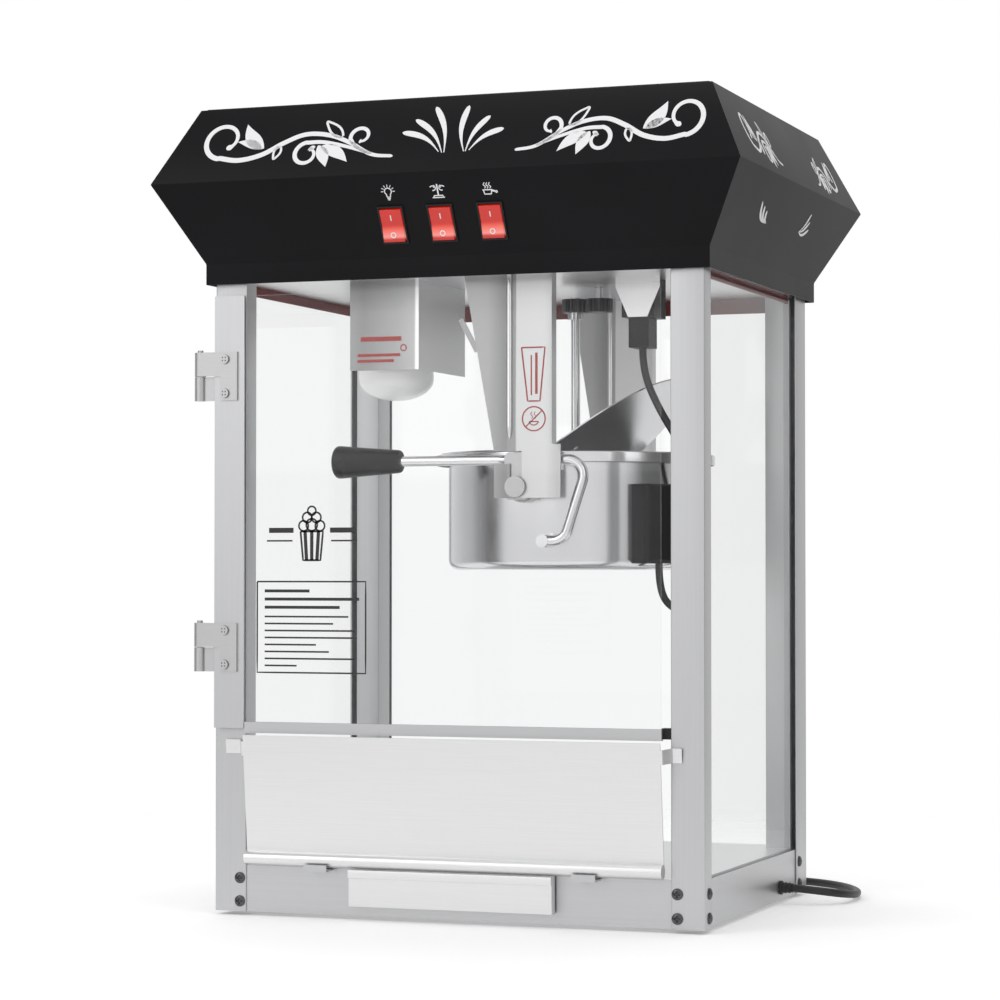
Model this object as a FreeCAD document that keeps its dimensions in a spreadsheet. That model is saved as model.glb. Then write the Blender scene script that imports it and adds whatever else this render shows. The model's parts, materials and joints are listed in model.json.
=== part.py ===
"""Tabletop popcorn maker: glazed cabinet, black canopy, tilting kettle with a geared stirrer,
hinged door, tilting serving panel and kernel drawer.

Millimetres. Origin on the floor under the middle of the cabinet, +Z up, front towards -Y.
"""
import FreeCAD, Part
import math
import os
import re

import Sketcher
from FreeCAD import Placement, Rotation, Vector

doc = FreeCAD.newDocument("PopcornMaker")

# ---------------------------------------------------------------- driving dimensions

SIZES = {
    # cabinet frame
    "cabinet_width": 440, "cabinet_depth": 334, "post_height": 545, "foot_height": 3,
    "foot_radius": 13, "foot_inset": 46,
    "post_width": 29, "front_post_depth": 20, "rear_post_depth": 35, "post_wall": 1.5,
    "sill_height": 40, "sill_sheet": 1.2, "sill_flange": 14, "sheet_gap": 0.2,
    "screw_head_radius": 4.8, "screw_head_height": 2.4, "screw_radius": 2.5, "screw_length": 10,
    # glazing and deck
    "glass_thickness": 3, "glass_gap": 0.3, "glass_groove": 6, "deck_sheet": 1.2,
    "deck_hole_radius": 4, "deck_hole_pitch": 18, "deck_hole_columns": 9, "deck_hole_rows": 6,
    # canopy
    "skirt_overhang": 6.8, "skirt_drop": 4, "skirt_height": 18, "bulge_overhang": 42.8,
    "lower_slope_height": 66.6, "upper_slope_height": 67.1, "top_overhang": 10.1,
    "canopy_sheet": 1.2, "top_flange": 18, "cover_sheet": 1, "ceiling_sheet": 1.5,
    # switches
    "switch_pitch": 44.5, "switch_offset": 1.5, "switch_slope_up": 26, "rocker_width": 19.5,
    "rocker_length": 30.5, "rocker_proud": 3, "rocker_depth": 15, "rocker_gap": 0.4,
    "bezel_width": 23, "bezel_length": 34, "bezel_height": 1.6, "bezel_depth": 20,
    "rocker_tilt": 7,
    # door
    "door_gap": 0.8, "pane_thickness": 3, "pane_left": -215, "pane_right": 183.5,
    "door_bottom": 157, "door_top_gap": 14, "strip_thickness": 1.9, "strip_left": -219,
    "strip_right": -191, "strip_bottom": 157.7, "rail_height": 9.5, "rail_wall": 1.2,
    "rail_over": 1, "leaf_thickness": 2, "leaf_height": 42, "leaf_right": -197,
    "barrel_radius": 5, "barrel_offset": 14, "pin_radius": 2.5, "pin_gap": 0.1,
    "knuckle_gap": 0.5, "upper_hinge_drop": 83.5, "lower_hinge": 227.2, "hinge_screw_pitch": 29.5,
    "magnet_width": 8, "magnet_depth": 10, "magnet_height": 9,
    # serving panel
    "panel_left": -188, "panel_right": 186, "panel_top": 152, "panel_sheet": 1.2,
    "panel_lean": 6, "roll_radius": 6, "roll_gap": 1, "roll_out": 6,
    "tab_bottom": 134, "tab_height": 12, "tab_left": -209, "tab_right": 201, "tab_gap": 0.6,
    "hook_width": 21, "hook_left_gap": 19, "hook_right_gap": 18, "hook_lip": 4.5,
    # kernel drawer
    "drawer_width": 182, "drawer_bottom": 9, "drawer_top": 40, "drawer_reach": 10,
    "drawer_sheet": 1, "tray_width": 168, "tray_depth": 130, "tray_gap": 0.8, "tray_lift": 4,
    "pull_lip_height": 7, "pull_lip_proud": 1.8,
    # kettle
    "kettle_x": 51, "kettle_y": 5, "pivot_x": 44, "pivot_drop": 180.5, "kettle_radius": 113,
    "kettle_wall": 1.2, "kettle_below": 70.5, "kettle_above": 31, "kettle_corner": 9,
    "pan_gap": 4, "pan_floor": 26, "rim_width": 11, "rim_height": 9, "rim_sheet": 1.5,
    "heater_outer": 90, "heater_inner": 50, "heater_height": 10,
    "lid_bar_width": 22, "lid_bar_sheet": 1.5, "lid_sheet": 1.2, "lid_margin": 5,
    "lid_barrel_radius": 3, "lid_rod_radius": 1.6, "lid_rod_half": 62, "lid_gap": 0.4,
    "lid_tab_reach": 10, "lid_tab_width": 30, "lid_right_angle": 38,
    "trunnion_radius": 5, "trunnion_boss_radius": 13, "trunnion_head_radius": 9,
    "trunnion_head": 3, "hanger_space": 13, "slot_gap": 0.35,
    "pivot_plate": 2, "pivot_plate_half": 11, "pivot_plate_gap": 0.5,
    # hangers
    "hanger_sheet": 1.5, "hanger_top_left": -0.5, "hanger_top_right": 80, "hanger_crease": 36,
    "hanger_neck_left": 25, "hanger_neck_drop": 150, "hanger_plate_right": 84,
    "hanger_below": 9.5, "hanger_wing_angle": 10, "hanger_flange": 12,
    "slot_above": 25, "flange_clear": 36,
    # handle
    "rod_radius": 4.4, "handle_above": 23, "grip_left": -126, "grip_right": -64,
    "grip_end_radius": 14.2, "grip_neck_radius": 10, "elbow_x": 107, "foot_x": 84,
    "foot_end_x": 66, "foot_below": 46, "rod_gap": 1.7, "rod_bend": 14,
    # stirrer and drive
    "gear_module": 1.1, "gear_teeth": 20, "gear_thickness": 12, "gear_bottom_drop": 22,
    "mesh_slack": 0.3, "shaft_radius": 4, "shaft_gap": 1.5, "arm_clear": 25, 
    "motor_shaft_radius": 3, "motor_width": 62, "motor_depth": 52, "motor_height": 30,
    "can_radius": 24, "can_height": 34,
    # lamp
    "lamp_x": -90, "lamp_y": -72, "lamp_radius": 33, "lamp_drop": 100, "lamp_length": 92,
    "guard_left": -112, "guard_right": -48, "guard_front": -125, "guard_back": -12,
    "guard_drop": 78, "guard_sheet": 1,
    # outlet, kettle lead
    "outlet_x": 134, "outlet_y": -60, "cover_top_half": 19.8, "cover_bottom_half": 8.6,
    "cover_drop": 34, "plug_width": 18, "plug_depth": 24, "plug_height": 26,
    "lead_radius": 3.2, "terminal_angle": -36, "terminal_width": 40, "terminal_depth": 20,
    "terminal_height": 68, "terminal_above": 3,
    # mains cord
    "cord_radius": 3.5, "cord_exit_y": 78, "cord_exit_z": 14, "relief_radius": 6.2,
    "relief_flange": 2.5, "relief_stub": 9, "coil_x": 96, "coil_y": 232, "coil_radius": 42,
    "coil_half_width": 7, "coil_height": 21,
}


def fill_sheet():
    """Write every driving dimension into the spreadsheet, one named cell each."""
    sheet = doc.addObject("Spreadsheet::Sheet", "Sizes")
    for row, (name, number) in enumerate(SIZES.items(), start=1):
        sheet.set(f"A{row}", name)
        sheet.set(f"B{row}", str(number))
        sheet.setAlias(f"B{row}", name)
    doc.recompute()
    return sheet


class Values:
    """The sheet's numbers as attributes, for shapes that are made in code."""

    def __init__(self, sheet):
        for name in SIZES:
            setattr(self, name, float(sheet.get(name)))


v = Values(fill_sheet())

# Expressions and numbers that many pieces share.
HALF_W = "cabinet_width / 2"
HALF_D = "cabinet_depth / 2"
CEILING = "(foot_height + post_height)"
DECK = "(foot_height + sill_height)"
PIVOT = "(foot_height + post_height - pivot_drop)"
half_w = v.cabinet_width / 2
half_d = v.cabinet_depth / 2
ceiling = v.foot_height + v.post_height
deck = v.foot_height + v.sill_height
pivot = ceiling - v.pivot_drop
rim_radius = v.kettle_radius + v.rim_width

nodes = []

# ---------------------------------------------------------------- modelling helpers


def expression(text):
    """FreeCAD expression for a text written in the sheet's names."""
    return re.sub(r"[a-z_][a-z_0-9]*", lambda w: f"Sizes.{w[0]}" if w[0] in SIZES else w[0], str(text))


def bind(obj, prop, text):
    """Bind a property to an expression written in the sheet's names."""
    obj.setExpression(prop, expression(text))


def place(obj, x=0, y=0, z=0):
    """Bind an object's position to three expressions."""
    for axis, text in (("x", x), ("y", y), ("z", z)):
        bind(obj, f"Placement.Base.{axis}", text)
    return obj


def node(obj, label):
    """Name an object as one piece of the machine."""
    obj.Label = label
    nodes.append(obj)
    return obj


def box(name, low, high):
    """Box between two corners, each corner three expressions."""
    obj = doc.addObject("Part::Box", name)
    for prop, start, end in zip(("Length", "Width", "Height"), low, high):
        bind(obj, prop, f"({end}) - ({start})")
    return place(obj, *low)


def cylinder(name, radius, height, x, y, z, direction=Vector(0, 0, 1)):
    """Cylinder from a point along a direction."""
    obj = doc.addObject("Part::Cylinder", name)
    bind(obj, "Radius", radius)
    bind(obj, "Height", height)
    obj.Placement = Placement(Vector(), Rotation(Vector(0, 0, 1), direction))
    return place(obj, x, y, z)


def fuse(name, *pieces):
    obj = doc.addObject("Part::MultiFuse", name)
    obj.Shapes = list(pieces)
    return obj


def compound(name, *pieces):
    obj = doc.addObject("Part::Compound", name)
    obj.Links = list(pieces)
    return obj


def cut(name, base, *tools):
    obj = doc.addObject("Part::Cut", name)
    obj.Base = base
    obj.Tool = tools[0] if len(tools) == 1 else compound(name + "_tools", *tools)
    return obj


def outline(body, plane, points, offset):
    """Closed sketch whose corners are dimensioned from the origin and bound to the sheet."""
    sketch = body.newObject("Sketcher::SketchObject", body.Name + "_sketch")
    base = [f for f in body.Origin.OriginFeatures if f.Role == plane][0]
    sketch.AttachmentSupport = [(base, "")]
    sketch.MapMode = "FlatFace"
    bind(sketch, "AttachmentOffset.Base.z", offset)
    corners = [Vector(*(float(sketch.evalExpression(expression(text))) for text in pair)) for pair in points]
    count = len(corners)
    for i in range(count):
        sketch.addGeometry(Part.LineSegment(corners[i], corners[(i + 1) % count]))
    for i in range(count):
        sketch.addConstraint(Sketcher.Constraint("Coincident", i, 2, (i + 1) % count, 1))
    for i, pair in enumerate(points):
        for kind, text, number in (("DistanceX", pair[0], corners[i].x),
                                   ("DistanceY", pair[1], corners[i].y)):
            index = sketch.addConstraint(Sketcher.Constraint(kind, -1, 1, i, 1, number))
            bind(sketch, f"Constraints[{index}]", text)
    return sketch


def pad(name, plane, points, low, high):
    """Body padded from an outline, between two places along the plane's axis."""
    body = doc.addObject("PartDesign::Body", name)
    backwards = plane == "XZ_Plane"
    start = f"-({high})" if backwards else low
    sketch = outline(body, plane, points, start)
    feature = body.newObject("PartDesign::Pad", name + "_pad")
    feature.Profile = sketch
    bind(feature, "Length", f"({high}) - ({low})")
    return body


def revolve(name, points):
    """Body turned about the vertical through the sheet's own X, Z profile."""
    body = doc.addObject("PartDesign::Body", name)
    sketch = outline(body, "XZ_Plane", points, 0)
    feature = body.newObject("PartDesign::Revolution", name + "_turn")
    feature.Profile = sketch
    feature.ReferenceAxis = (sketch, ["V_Axis"])
    feature.Angle = 360
    return body


def feature(label, shape, placement=None):
    """Piece whose shape is worked out in code from the sheet's numbers."""
    obj = doc.addObject("Part::Feature", label)
    obj.Shape = shape
    if placement:
        obj.Placement = placement
    return obj


def rounded_path(points, trim=0.45, bend=None):
    """Wire of straight runs joined by tangent arcs, and the arcs' radii. Without a bend radius each arc
    takes a share of the shorter run beside it."""
    points = [Vector(*p) for p in points]
    edges, radii, start = [], [], points[0]
    for before, corner, after in zip(points, points[1:], points[2:]):
        back = (before - corner).normalize()
        ahead = (after - corner).normalize()
        half_turn = (math.pi - back.getAngle(ahead)) / 2
        run = min((before - corner).Length, (after - corner).Length) * trim
        if bend:
            run = bend * math.tan(half_turn)
        radii.append(run / math.tan(half_turn))
        enter, leave = corner + back * run, corner + ahead * run
        inward = (back + ahead).normalize()
        centre = corner + inward * math.hypot(radii[-1], run)
        middle = centre - inward * radii[-1]
        edges.append(Part.LineSegment(start, enter).toShape())
        edges.append(Part.Arc(enter, middle, leave).toShape())
        start = leave
    edges.append(Part.LineSegment(start, points[-1]).toShape())
    return Part.Wire(edges), radii


def tube(points, radius, trim=0.45, bend=None):
    """Round bar swept along a rounded path: its shape, length and the radii of its arcs."""
    wire, radii = rounded_path(points, trim, bend)
    direction = Vector(*points[1]) - Vector(*points[0])
    circle = Part.Wire(Part.makeCircle(radius, Vector(*points[0]), direction))
    return wire.makePipeShell([circle], True, True), wire.Length, radii


# ---------------------------------------------------------------- cabinet frame


def corner_post(side, end):
    """Box-section post, slotted for the sills and the glass that enter it."""
    front = end == "front"
    depth = "front_post_depth" if front else "rear_post_depth"
    name = f"post_{end}_{'left' if side < 0 else 'right'}"

    def span(a, b):
        """Ordered pair of expressions measured outwards from the middle."""
        return (f"-({b})", f"-({a})") if side < 0 else (a, b)

    def along(a, b):
        """Ordered pair measured from the middle towards this post's end."""
        return (f"-({b})", f"-({a})") if front else (a, b)

    x0, x1 = span(f"{HALF_W} - post_width", HALF_W)
    y0, y1 = along(f"{HALF_D} - {depth}", HALF_D)
    outside = box(name + "_outside", (x0, y0, "foot_height"), (x1, y1, CEILING))
    hx0, hx1 = span(f"{HALF_W} - post_width + post_wall", f"{HALF_W} - post_wall")
    hy0, hy1 = along(f"{HALF_D} - {depth} + post_wall", f"{HALF_D} - post_wall")
    hollow = box(name + "_hollow", (hx0, hy0, "foot_height - 1"), (hx1, hy1, f"{CEILING} + 1"))
    # side glass and side sill come in through the wall that faces the other post
    gx0, gx1 = span(f"{HALF_W} - post_wall - sill_sheet - glass_thickness - 2 * glass_gap",
                    f"{HALF_W} - post_wall")
    gy0, gy1 = along(f"{HALF_D} - {depth} - 1", f"{HALF_D} - {depth} + post_wall + 1")
    glass_slot = box(name + "_glass_slot", (gx0, gy0, "foot_height - 1"), (gx1, gy1, f"{CEILING} + 1"))
    # front or rear sill tab comes in through the inner wall
    sx0, sx1 = span(f"{HALF_W} - post_width - 1", f"{HALF_W} - post_width + post_wall + 1")
    inner = f"{HALF_D} - post_wall - sill_sheet - sheet_gap"
    if not front:
        inner = f"{HALF_D} - post_wall - sill_sheet - glass_thickness - 2 * glass_gap"
    sy0, sy1 = along(inner, f"{HALF_D} - post_wall")
    top = f"{DECK} + sheet_gap" if front else f"{CEILING} + 1"
    sill_slot = box(name + "_sill_slot", (sx0, sy0, "foot_height - 1"), (sx1, sy1, top))
    # screws enter the outer faces into the sills
    holes = [cylinder(f"{name}_hole_{i}", "screw_radius", "post_wall + 2", *at)
             for i, at in enumerate(screw_places(side, front))]
    for hole, (x, y, z, direction) in zip(holes, screw_places(side, front)):
        hole.Placement = Placement(Vector(), Rotation(Vector(0, 0, 1), direction * -1))
        shift = direction
        place(hole, f"({x}) + {shift.x}", f"({y}) + {shift.y}", z)
    return node(cut(name, outside, hollow, glass_slot, sill_slot, *holes), name)


def screw_places(side, front):
    """Screw heads on one post: place on the outer face and the face's outward direction."""
    sign = "" if side > 0 else "-"
    depth = "front_post_depth" if front else "rear_post_depth"
    end = "-" if front else ""
    inset = "screw_head_radius + 0.7"
    for height in ("sill_height * 0.22", "sill_height * 0.72"):
        z = f"foot_height + {height}"
        yield (f"{sign}({HALF_W} - post_width + {inset})", f"{end}({HALF_D})", z,
               Vector(0, -1 if front else 1, 0))
        yield (f"{sign}({HALF_W})", f"{end}({HALF_D} - {depth} + screw_head_radius + 3)", z,
               Vector(side, 0, 0))


def frame_screws():
    """Pan-head screws: head on the post, shank through the post and the sill tab."""
    pieces = []
    for side in (-1, 1):
        for front in (True, False):
            for x, y, z, direction in screw_places(side, front):
                name = f"screw_{len(pieces)}"
                head = cylinder(name + "_head", "screw_head_radius", "screw_head_height", x, y, z, direction)
                shank = cylinder(name + "_shank", "screw_radius", "screw_length", x, y, z, direction * -1)
                domed = doc.addObject("Part::Fillet", name + "_dome")
                domed.Base = head
                doc.recompute()
                rims = [i for i, e in enumerate(head.Shape.Edges, start=1)
                        if e.CenterOfMass.dot(direction) > head.Shape.CenterOfMass.dot(direction)
                        and e.Curve.TypeId == "Part::GeomCircle"]
                domed.Edges = [(i, 1.4, 1.4) for i in rims]
                pieces.append(fuse(name, domed, shank))
    return node(compound("frame_screws", *pieces), "frame_screws")


def sill(end):
    """Front or rear sill: a channel with flanges top and bottom and end tabs inside the posts."""
    sign = -1 if end == "front" else 1
    out = f"{HALF_D} - post_wall"
    web = f"{out} - sill_sheet"
    flange = f"{out} - sill_flange"

    def piece(name, reach, near, far, low, high):
        ys = (f"-({far})", f"-({near})") if sign < 0 else (near, far)
        return box(f"sill_{end}_{name}", (f"-({reach})", ys[0], low), (reach, ys[1], high))

    tab = f"{HALF_W} - post_wall - sill_sheet - sheet_gap"
    clear = f"{HALF_W} - post_width - sheet_gap"
    parts = [
        piece("web", tab, web, out, "foot_height", DECK),
        piece("top", clear, flange, web, f"{DECK} - sill_sheet", DECK),
        piece("lip", clear, flange, web, "foot_height", "foot_height + sill_sheet"),
    ]
    if end == "front":
        parts += [panel_hook(side) for side in (-1, 1)]
    joined = fuse(f"sill_{end}_sheet", *parts)
    openings = []
    if end == "front":
        half = "tray_width / 2 + tray_gap"
        low = "foot_height + drawer_bottom + 1"
        high = "foot_height + drawer_top - tray_lift"
        openings.append(box("drawer_opening", (f"-({half})", f"-({HALF_D})", low),
                            (half, f"-({web}) + 1", high)))
    for side in (-1, 1):
        for x, y, z, direction in screw_places(side, end == "front"):
            if direction.y:
                hole = cylinder(f"sill_{end}_hole", "screw_radius", "6", x, f"({y}) + {3 * -direction.y}", z,
                                direction)
                openings.append(hole)
    return node(cut(f"sill_{end}", joined, *openings), f"sill_{end}")


def panel_hook(side):
    """Tab from the sill beside the drawer that runs under the panel's roll and turns up in front of it."""
    name = "hook_right" if side > 0 else "hook_left"
    centre = f"{side} * (drawer_width / 2 + {name}_gap + hook_width / 2)"
    out = f"{HALF_D} + roll_out + roll_radius + 0.6"
    top = f"{DECK} - sill_sheet"
    low = f"{top} - sill_sheet"
    x0, x1 = f"{centre} - hook_width / 2", f"{centre} + hook_width / 2"
    shelf = box(name + "_shelf", (x0, f"-({out}) - sill_sheet", low), (x1, f"-({HALF_D} - post_wall)", top))
    lip = box(name + "_lip", (x0, f"-({out}) - sill_sheet", low), (x1, f"-({out})", f"{top} + hook_lip"))
    return fuse(name, shelf, lip)


def side_sills():
    """Left and right sills, each a channel with tabs inside the posts."""
    pieces = []
    for side, name in ((-1, "left"), (1, "right")):
        out = f"{HALF_W} - post_wall"
        web = f"{out} - sill_sheet"
        flange = f"{out} - sill_flange"
        reach = f"{HALF_D} - post_wall - sill_sheet - sheet_gap"
        front = f"-({HALF_D} - front_post_depth - sheet_gap)"
        rear = f"{HALF_D} - rear_post_depth - sheet_gap"

        def piece(part, near, far, y0, y1, low, high):
            xs = (f"-({far})", f"-({near})") if side < 0 else (near, far)
            return box(f"sill_{name}_{part}", (xs[0], y0, low), (xs[1], y1, high))

        parts = fuse(
            f"sill_{name}_sheet",
            piece("web", web, out, f"-({reach})", reach, "foot_height", DECK),
            piece("top", flange, web, front, rear, f"{DECK} - sill_sheet", DECK),
            piece("lip", flange, web, front, rear, "foot_height", "foot_height + sill_sheet"))
        holes = [cylinder(f"sill_{name}_hole", "screw_radius", "6", f"({x}) + {-3 * side}", y, z, direction)
                 for front_end in (True, False)
                 for x, y, z, direction in screw_places(side, front_end) if direction.x]
        if side > 0:
            holes.append(cylinder("relief_hole", "relief_radius - 1", "6", f"{out} - 3", "cord_exit_y",
                                  "cord_exit_z", Vector(1, 0, 0)))
        pieces.append(cut(f"sill_{name}", parts, *holes))
    return node(compound("side_sills", *pieces), "side_sills")


def base_pan():
    """Bottom sheet on the sills' lips, notched at the posts."""
    half_x = f"{HALF_W} - post_wall - sill_sheet - sheet_gap"
    half_y = f"{HALF_D} - post_wall - sill_sheet - sheet_gap"
    low = "foot_height + sill_sheet"
    sheet = box("pan_sheet", (f"-({half_x})", f"-({half_y})", low), (half_x, half_y, f"{low} + sill_sheet"))
    return node(cut("base_pan", sheet, *post_notches("pan", low)), "base_pan")


def post_notches(name, low):
    """Boxes that clear the four posts out of a sheet."""
    notches = []
    for side, sx in ((-1, "-"), (1, "")):
        for end, depth in ((-1, "front_post_depth"), (1, "rear_post_depth")):
            x_in, x_out = f"{HALF_W} - post_width - sheet_gap", f"{HALF_W}"
            y_in, y_out = f"{HALF_D} - {depth} - sheet_gap", f"{HALF_D}"
            xs = (f"-({x_out})", f"-({x_in})") if side < 0 else (x_in, x_out)
            ys = (f"-({y_out})", f"-({y_in})") if end < 0 else (y_in, y_out)
            notches.append(box(f"{name}_notch", (xs[0], ys[0], f"{low} - 1"), (xs[1], ys[1], f"{low} + 9")))
    return notches


def deck_plate():
    """Bin floor on the sills' top flanges, with a field of sifting holes over the drawer."""
    half_x = f"{HALF_W} - post_wall - sill_sheet - glass_thickness - 3 * glass_gap"
    front = f"{HALF_D} - post_wall - sill_sheet"
    rear = f"{HALF_D} - post_wall - sill_sheet - glass_thickness - 3 * glass_gap"
    sheet = box("deck_sheet_blank", (f"-({half_x})", f"-({front})", DECK),
                (half_x, rear, f"{DECK} + deck_sheet"))
    holes = []
    for column in range(int(v.deck_hole_columns)):
        for row in range(int(v.deck_hole_rows)):
            x = f"({column} - (deck_hole_columns - 1) / 2) * deck_hole_pitch"
            y = f"-({HALF_D}) + 32 + {row} * deck_hole_pitch"
            holes.append(cylinder("deck_hole", "deck_hole_radius", "4", x, y, f"{DECK} - 1"))
    return node(cut("deck_plate", sheet, *post_notches("deck", DECK), *holes), "deck_plate")


def drawer_guides():
    """Two bent rails on the base pan that carry the kernel tray."""
    pan_top = "foot_height + 2 * sill_sheet"
    run = "foot_height + drawer_bottom + 2.4"
    inner = "tray_width / 2 + tray_gap"
    rails = []
    for side in (-1, 1):
        points = [
            (inner, pan_top), (f"{inner} + 10", pan_top), (f"{inner} + 10", f"{pan_top} + 1"),
            (f"{inner} + 1", f"{pan_top} + 1"), (f"{inner} + 1", f"{run} + 9"), (inner, f"{run} + 9"),
            (inner, run), (f"{inner} - 9", run), (f"{inner} - 9", f"{run} - 1"), (inner, f"{run} - 1"),
        ]
        if side < 0:
            points = [(f"-({x})", z) for x, z in points]
        y0 = f"-({HALF_D}) + sill_flange + 2"
        rails.append(pad(f"guide_{'left' if side < 0 else 'right'}", "XZ_Plane", points, y0,
                         f"{y0} + tray_depth"))
    return node(compound("drawer_guides", *rails), "drawer_guides")


def rubber_feet():
    """Four feet pressed up against the base pan."""
    feet = [cylinder(f"foot_{sx}_{sy}".replace("-", "m"), "foot_radius", "foot_height + sill_sheet",
                     f"{sx} * ({HALF_W} - foot_inset)", f"{sy} * ({HALF_D} - foot_inset)", "0")
            for sx in (-1, 1) for sy in (-1, 1)]
    return node(compound("rubber_feet", *feet), "rubber_feet")


def windows():
    """Side and rear glass, edges inside the posts' slots, standing on the sills."""
    out_x = f"{HALF_W} - post_wall - sill_sheet - glass_gap"
    in_x = f"{out_x} - glass_thickness"
    y0 = f"-({HALF_D} - front_post_depth + glass_groove)"
    y1 = f"{HALF_D} - rear_post_depth + glass_groove"
    low, high = f"{DECK} + 0", CEILING
    node(box("window_left", (f"-({out_x})", y0, low), (f"-({in_x})", y1, high)), "window_left")
    node(box("window_right", (in_x, y0, low), (out_x, y1, high)), "window_right")
    out_y = f"{HALF_D} - post_wall - sill_sheet - glass_gap"
    half_x = f"{HALF_W} - post_width + glass_groove"
    node(box("window_rear", (f"-({half_x})", f"{out_y} - glass_thickness", low), (half_x, out_y, high)),
         "window_rear")


# ---------------------------------------------------------------- canopy


def frustum(name, low_x, low_y, high_x, high_y, low, high):
    """Four-sided frustum: half sizes at its foot and at its top, and its two heights."""
    obj = doc.addObject("Part::Wedge", name)
    ends = {"Xmin": f"-({low_x})", "Xmax": low_x, "X2min": f"-({high_x})", "X2max": high_x,
            "Zmin": f"-({low_y})", "Zmax": low_y, "Z2min": f"-({high_y})", "Z2max": high_y,
            "Ymin": "0", "Ymax": f"({high}) - ({low})"}
    for prop, text in ends.items():
        bind(obj, prop, text)
    obj.Placement = Placement(Vector(), Rotation(Vector(1, 0, 0), 90))
    return place(obj, 0, 0, low)


SKIRT_BOTTOM = f"({CEILING} - skirt_drop)"
SKIRT_TOP = f"({CEILING} - skirt_drop + skirt_height)"
BULGE = f"({CEILING} - skirt_drop + skirt_height + lower_slope_height)"
CANOPY_TOP = f"({CEILING} - skirt_drop + skirt_height + lower_slope_height + upper_slope_height)"


def canopy_solid(name, inset, bottom, top):
    """Skirt, lower slope and upper slope as one solid, its sides moved in by the inset."""
    def half(overhang):
        return f"{HALF_W} + {overhang} - {inset}", f"{HALF_D} + {overhang} - {inset}"

    skirt, bulge, crown = half("skirt_overhang"), half("bulge_overhang"), half("top_overhang")
    return fuse(
        name,
        frustum(name + "_skirt", *skirt, *skirt, bottom, SKIRT_TOP),
        frustum(name + "_lower", *skirt, *bulge, SKIRT_TOP, BULGE),
        frustum(name + "_upper", *bulge, *crown, BULGE, top))


def canopy():
    """Folded shell with an opening on top, its cover, and the ceiling plate under the mechanism."""
    outside = canopy_solid("canopy_outside", "0", SKIRT_BOTTOM, CANOPY_TOP)
    inside = canopy_solid("canopy_inside", "canopy_sheet", f"{SKIRT_BOTTOM} - 1",
                          f"{CANOPY_TOP} - canopy_sheet")
    opening_x = f"{HALF_W} + top_overhang - top_flange"
    opening_y = f"{HALF_D} + top_overhang - top_flange"
    opening = frustum("canopy_opening", opening_x, opening_y, opening_x, opening_y, f"{CANOPY_TOP} - 5",
                      f"{CANOPY_TOP} + 5")
    holes = [switch_block(f"bezel_hole_{i}", "bezel_width - 1", "bezel_length - 1", "-bezel_depth", "6", i)
             for i in range(3)]
    node(cut("canopy_shell", outside, inside, opening, *holes), "canopy_shell")
    cover_x, cover_y = f"{HALF_W} + top_overhang - 4", f"{HALF_D} + top_overhang - 4"
    node(frustum("canopy_top_cover", cover_x, cover_y, cover_x, cover_y, CANOPY_TOP,
                 f"{CANOPY_TOP} + cover_sheet"), "canopy_top_cover")
    plate_x = f"{HALF_W} + skirt_overhang - canopy_sheet"
    plate_y = f"{HALF_D} + skirt_overhang - canopy_sheet"
    plate = box("ceiling_blank", (f"-({plate_x})", f"-({plate_y})", CEILING),
                (plate_x, plate_y, f"{CEILING} + ceiling_sheet"))
    shaft_hole = cylinder("ceiling_shaft_hole", "motor_shaft_radius + shaft_gap", "9", MOTOR_X, "kettle_y",
                          f"{CEILING} - 3")
    lamp_hole = cylinder("ceiling_lamp_hole", "20", "9", "lamp_x", "lamp_y", f"{CEILING} - 3")
    node(cut("ceiling_plate", plate, shaft_hole, lamp_hole), "ceiling_plate")


PITCH = "(gear_module * gear_teeth)"
MOTOR_X = f"(kettle_x + {PITCH} + mesh_slack)"

# The front lower slope, on which the switches sit.
slope_angle = math.degrees(math.atan2(v.bulge_overhang - v.skirt_overhang, v.lower_slope_height))
SLOPE = "atan((bulge_overhang - skirt_overhang) / lower_slope_height)"


def switch_frame(obj, index):
    """Stand an object on the front slope: its own Z points out of the slope, its Y up the slope."""
    obj.Placement = Placement(Vector(), Rotation(Vector(1, 0, 0), 90 + slope_angle))
    bind(obj, "Placement.Rotation.Angle", f"90 deg + {SLOPE}")
    up = "switch_slope_up"
    return place(
        obj, f"({index} - 1) * switch_pitch - switch_offset",
        f"-({HALF_D} + skirt_overhang + {up} * (bulge_overhang - skirt_overhang) / lower_slope_height)",
        f"{SKIRT_TOP} + {up}")


def switch_block(name, width, length, low, high, index):
    """Block centred on a switch's place, in the slope's own frame."""
    points = [(f"-({width}) / 2", f"-({length}) / 2"), (f"({width}) / 2", f"-({length}) / 2"),
              (f"({width}) / 2", f"({length}) / 2"), (f"-({width}) / 2", f"({length}) / 2")]
    return switch_frame(pad(name, "XY_Plane", points, low, high), index)


def switches():
    """Three bezels through the slope and the rockers that tilt in them."""
    bezels = []
    for index in range(3):
        flange = switch_block(f"bezel_{index}_flange", "bezel_width", "bezel_length", "0", "bezel_height",
                              index)
        can = switch_block(f"bezel_{index}_can", "bezel_width - 1", "bezel_length - 1", "-bezel_depth", "1",
                           index)
        pocket = switch_block(f"bezel_{index}_pocket", "rocker_width + 2 * rocker_gap",
                              "rocker_length + 2 * rocker_gap", "3 - bezel_depth", "9", index)
        bezels.append(cut(f"bezel_{index}", fuse(f"bezel_{index}_body", flange, can), pocket))
        rocker(index)
    node(compound("switch_bezels", *bezels), "switch_bezels")


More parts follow.
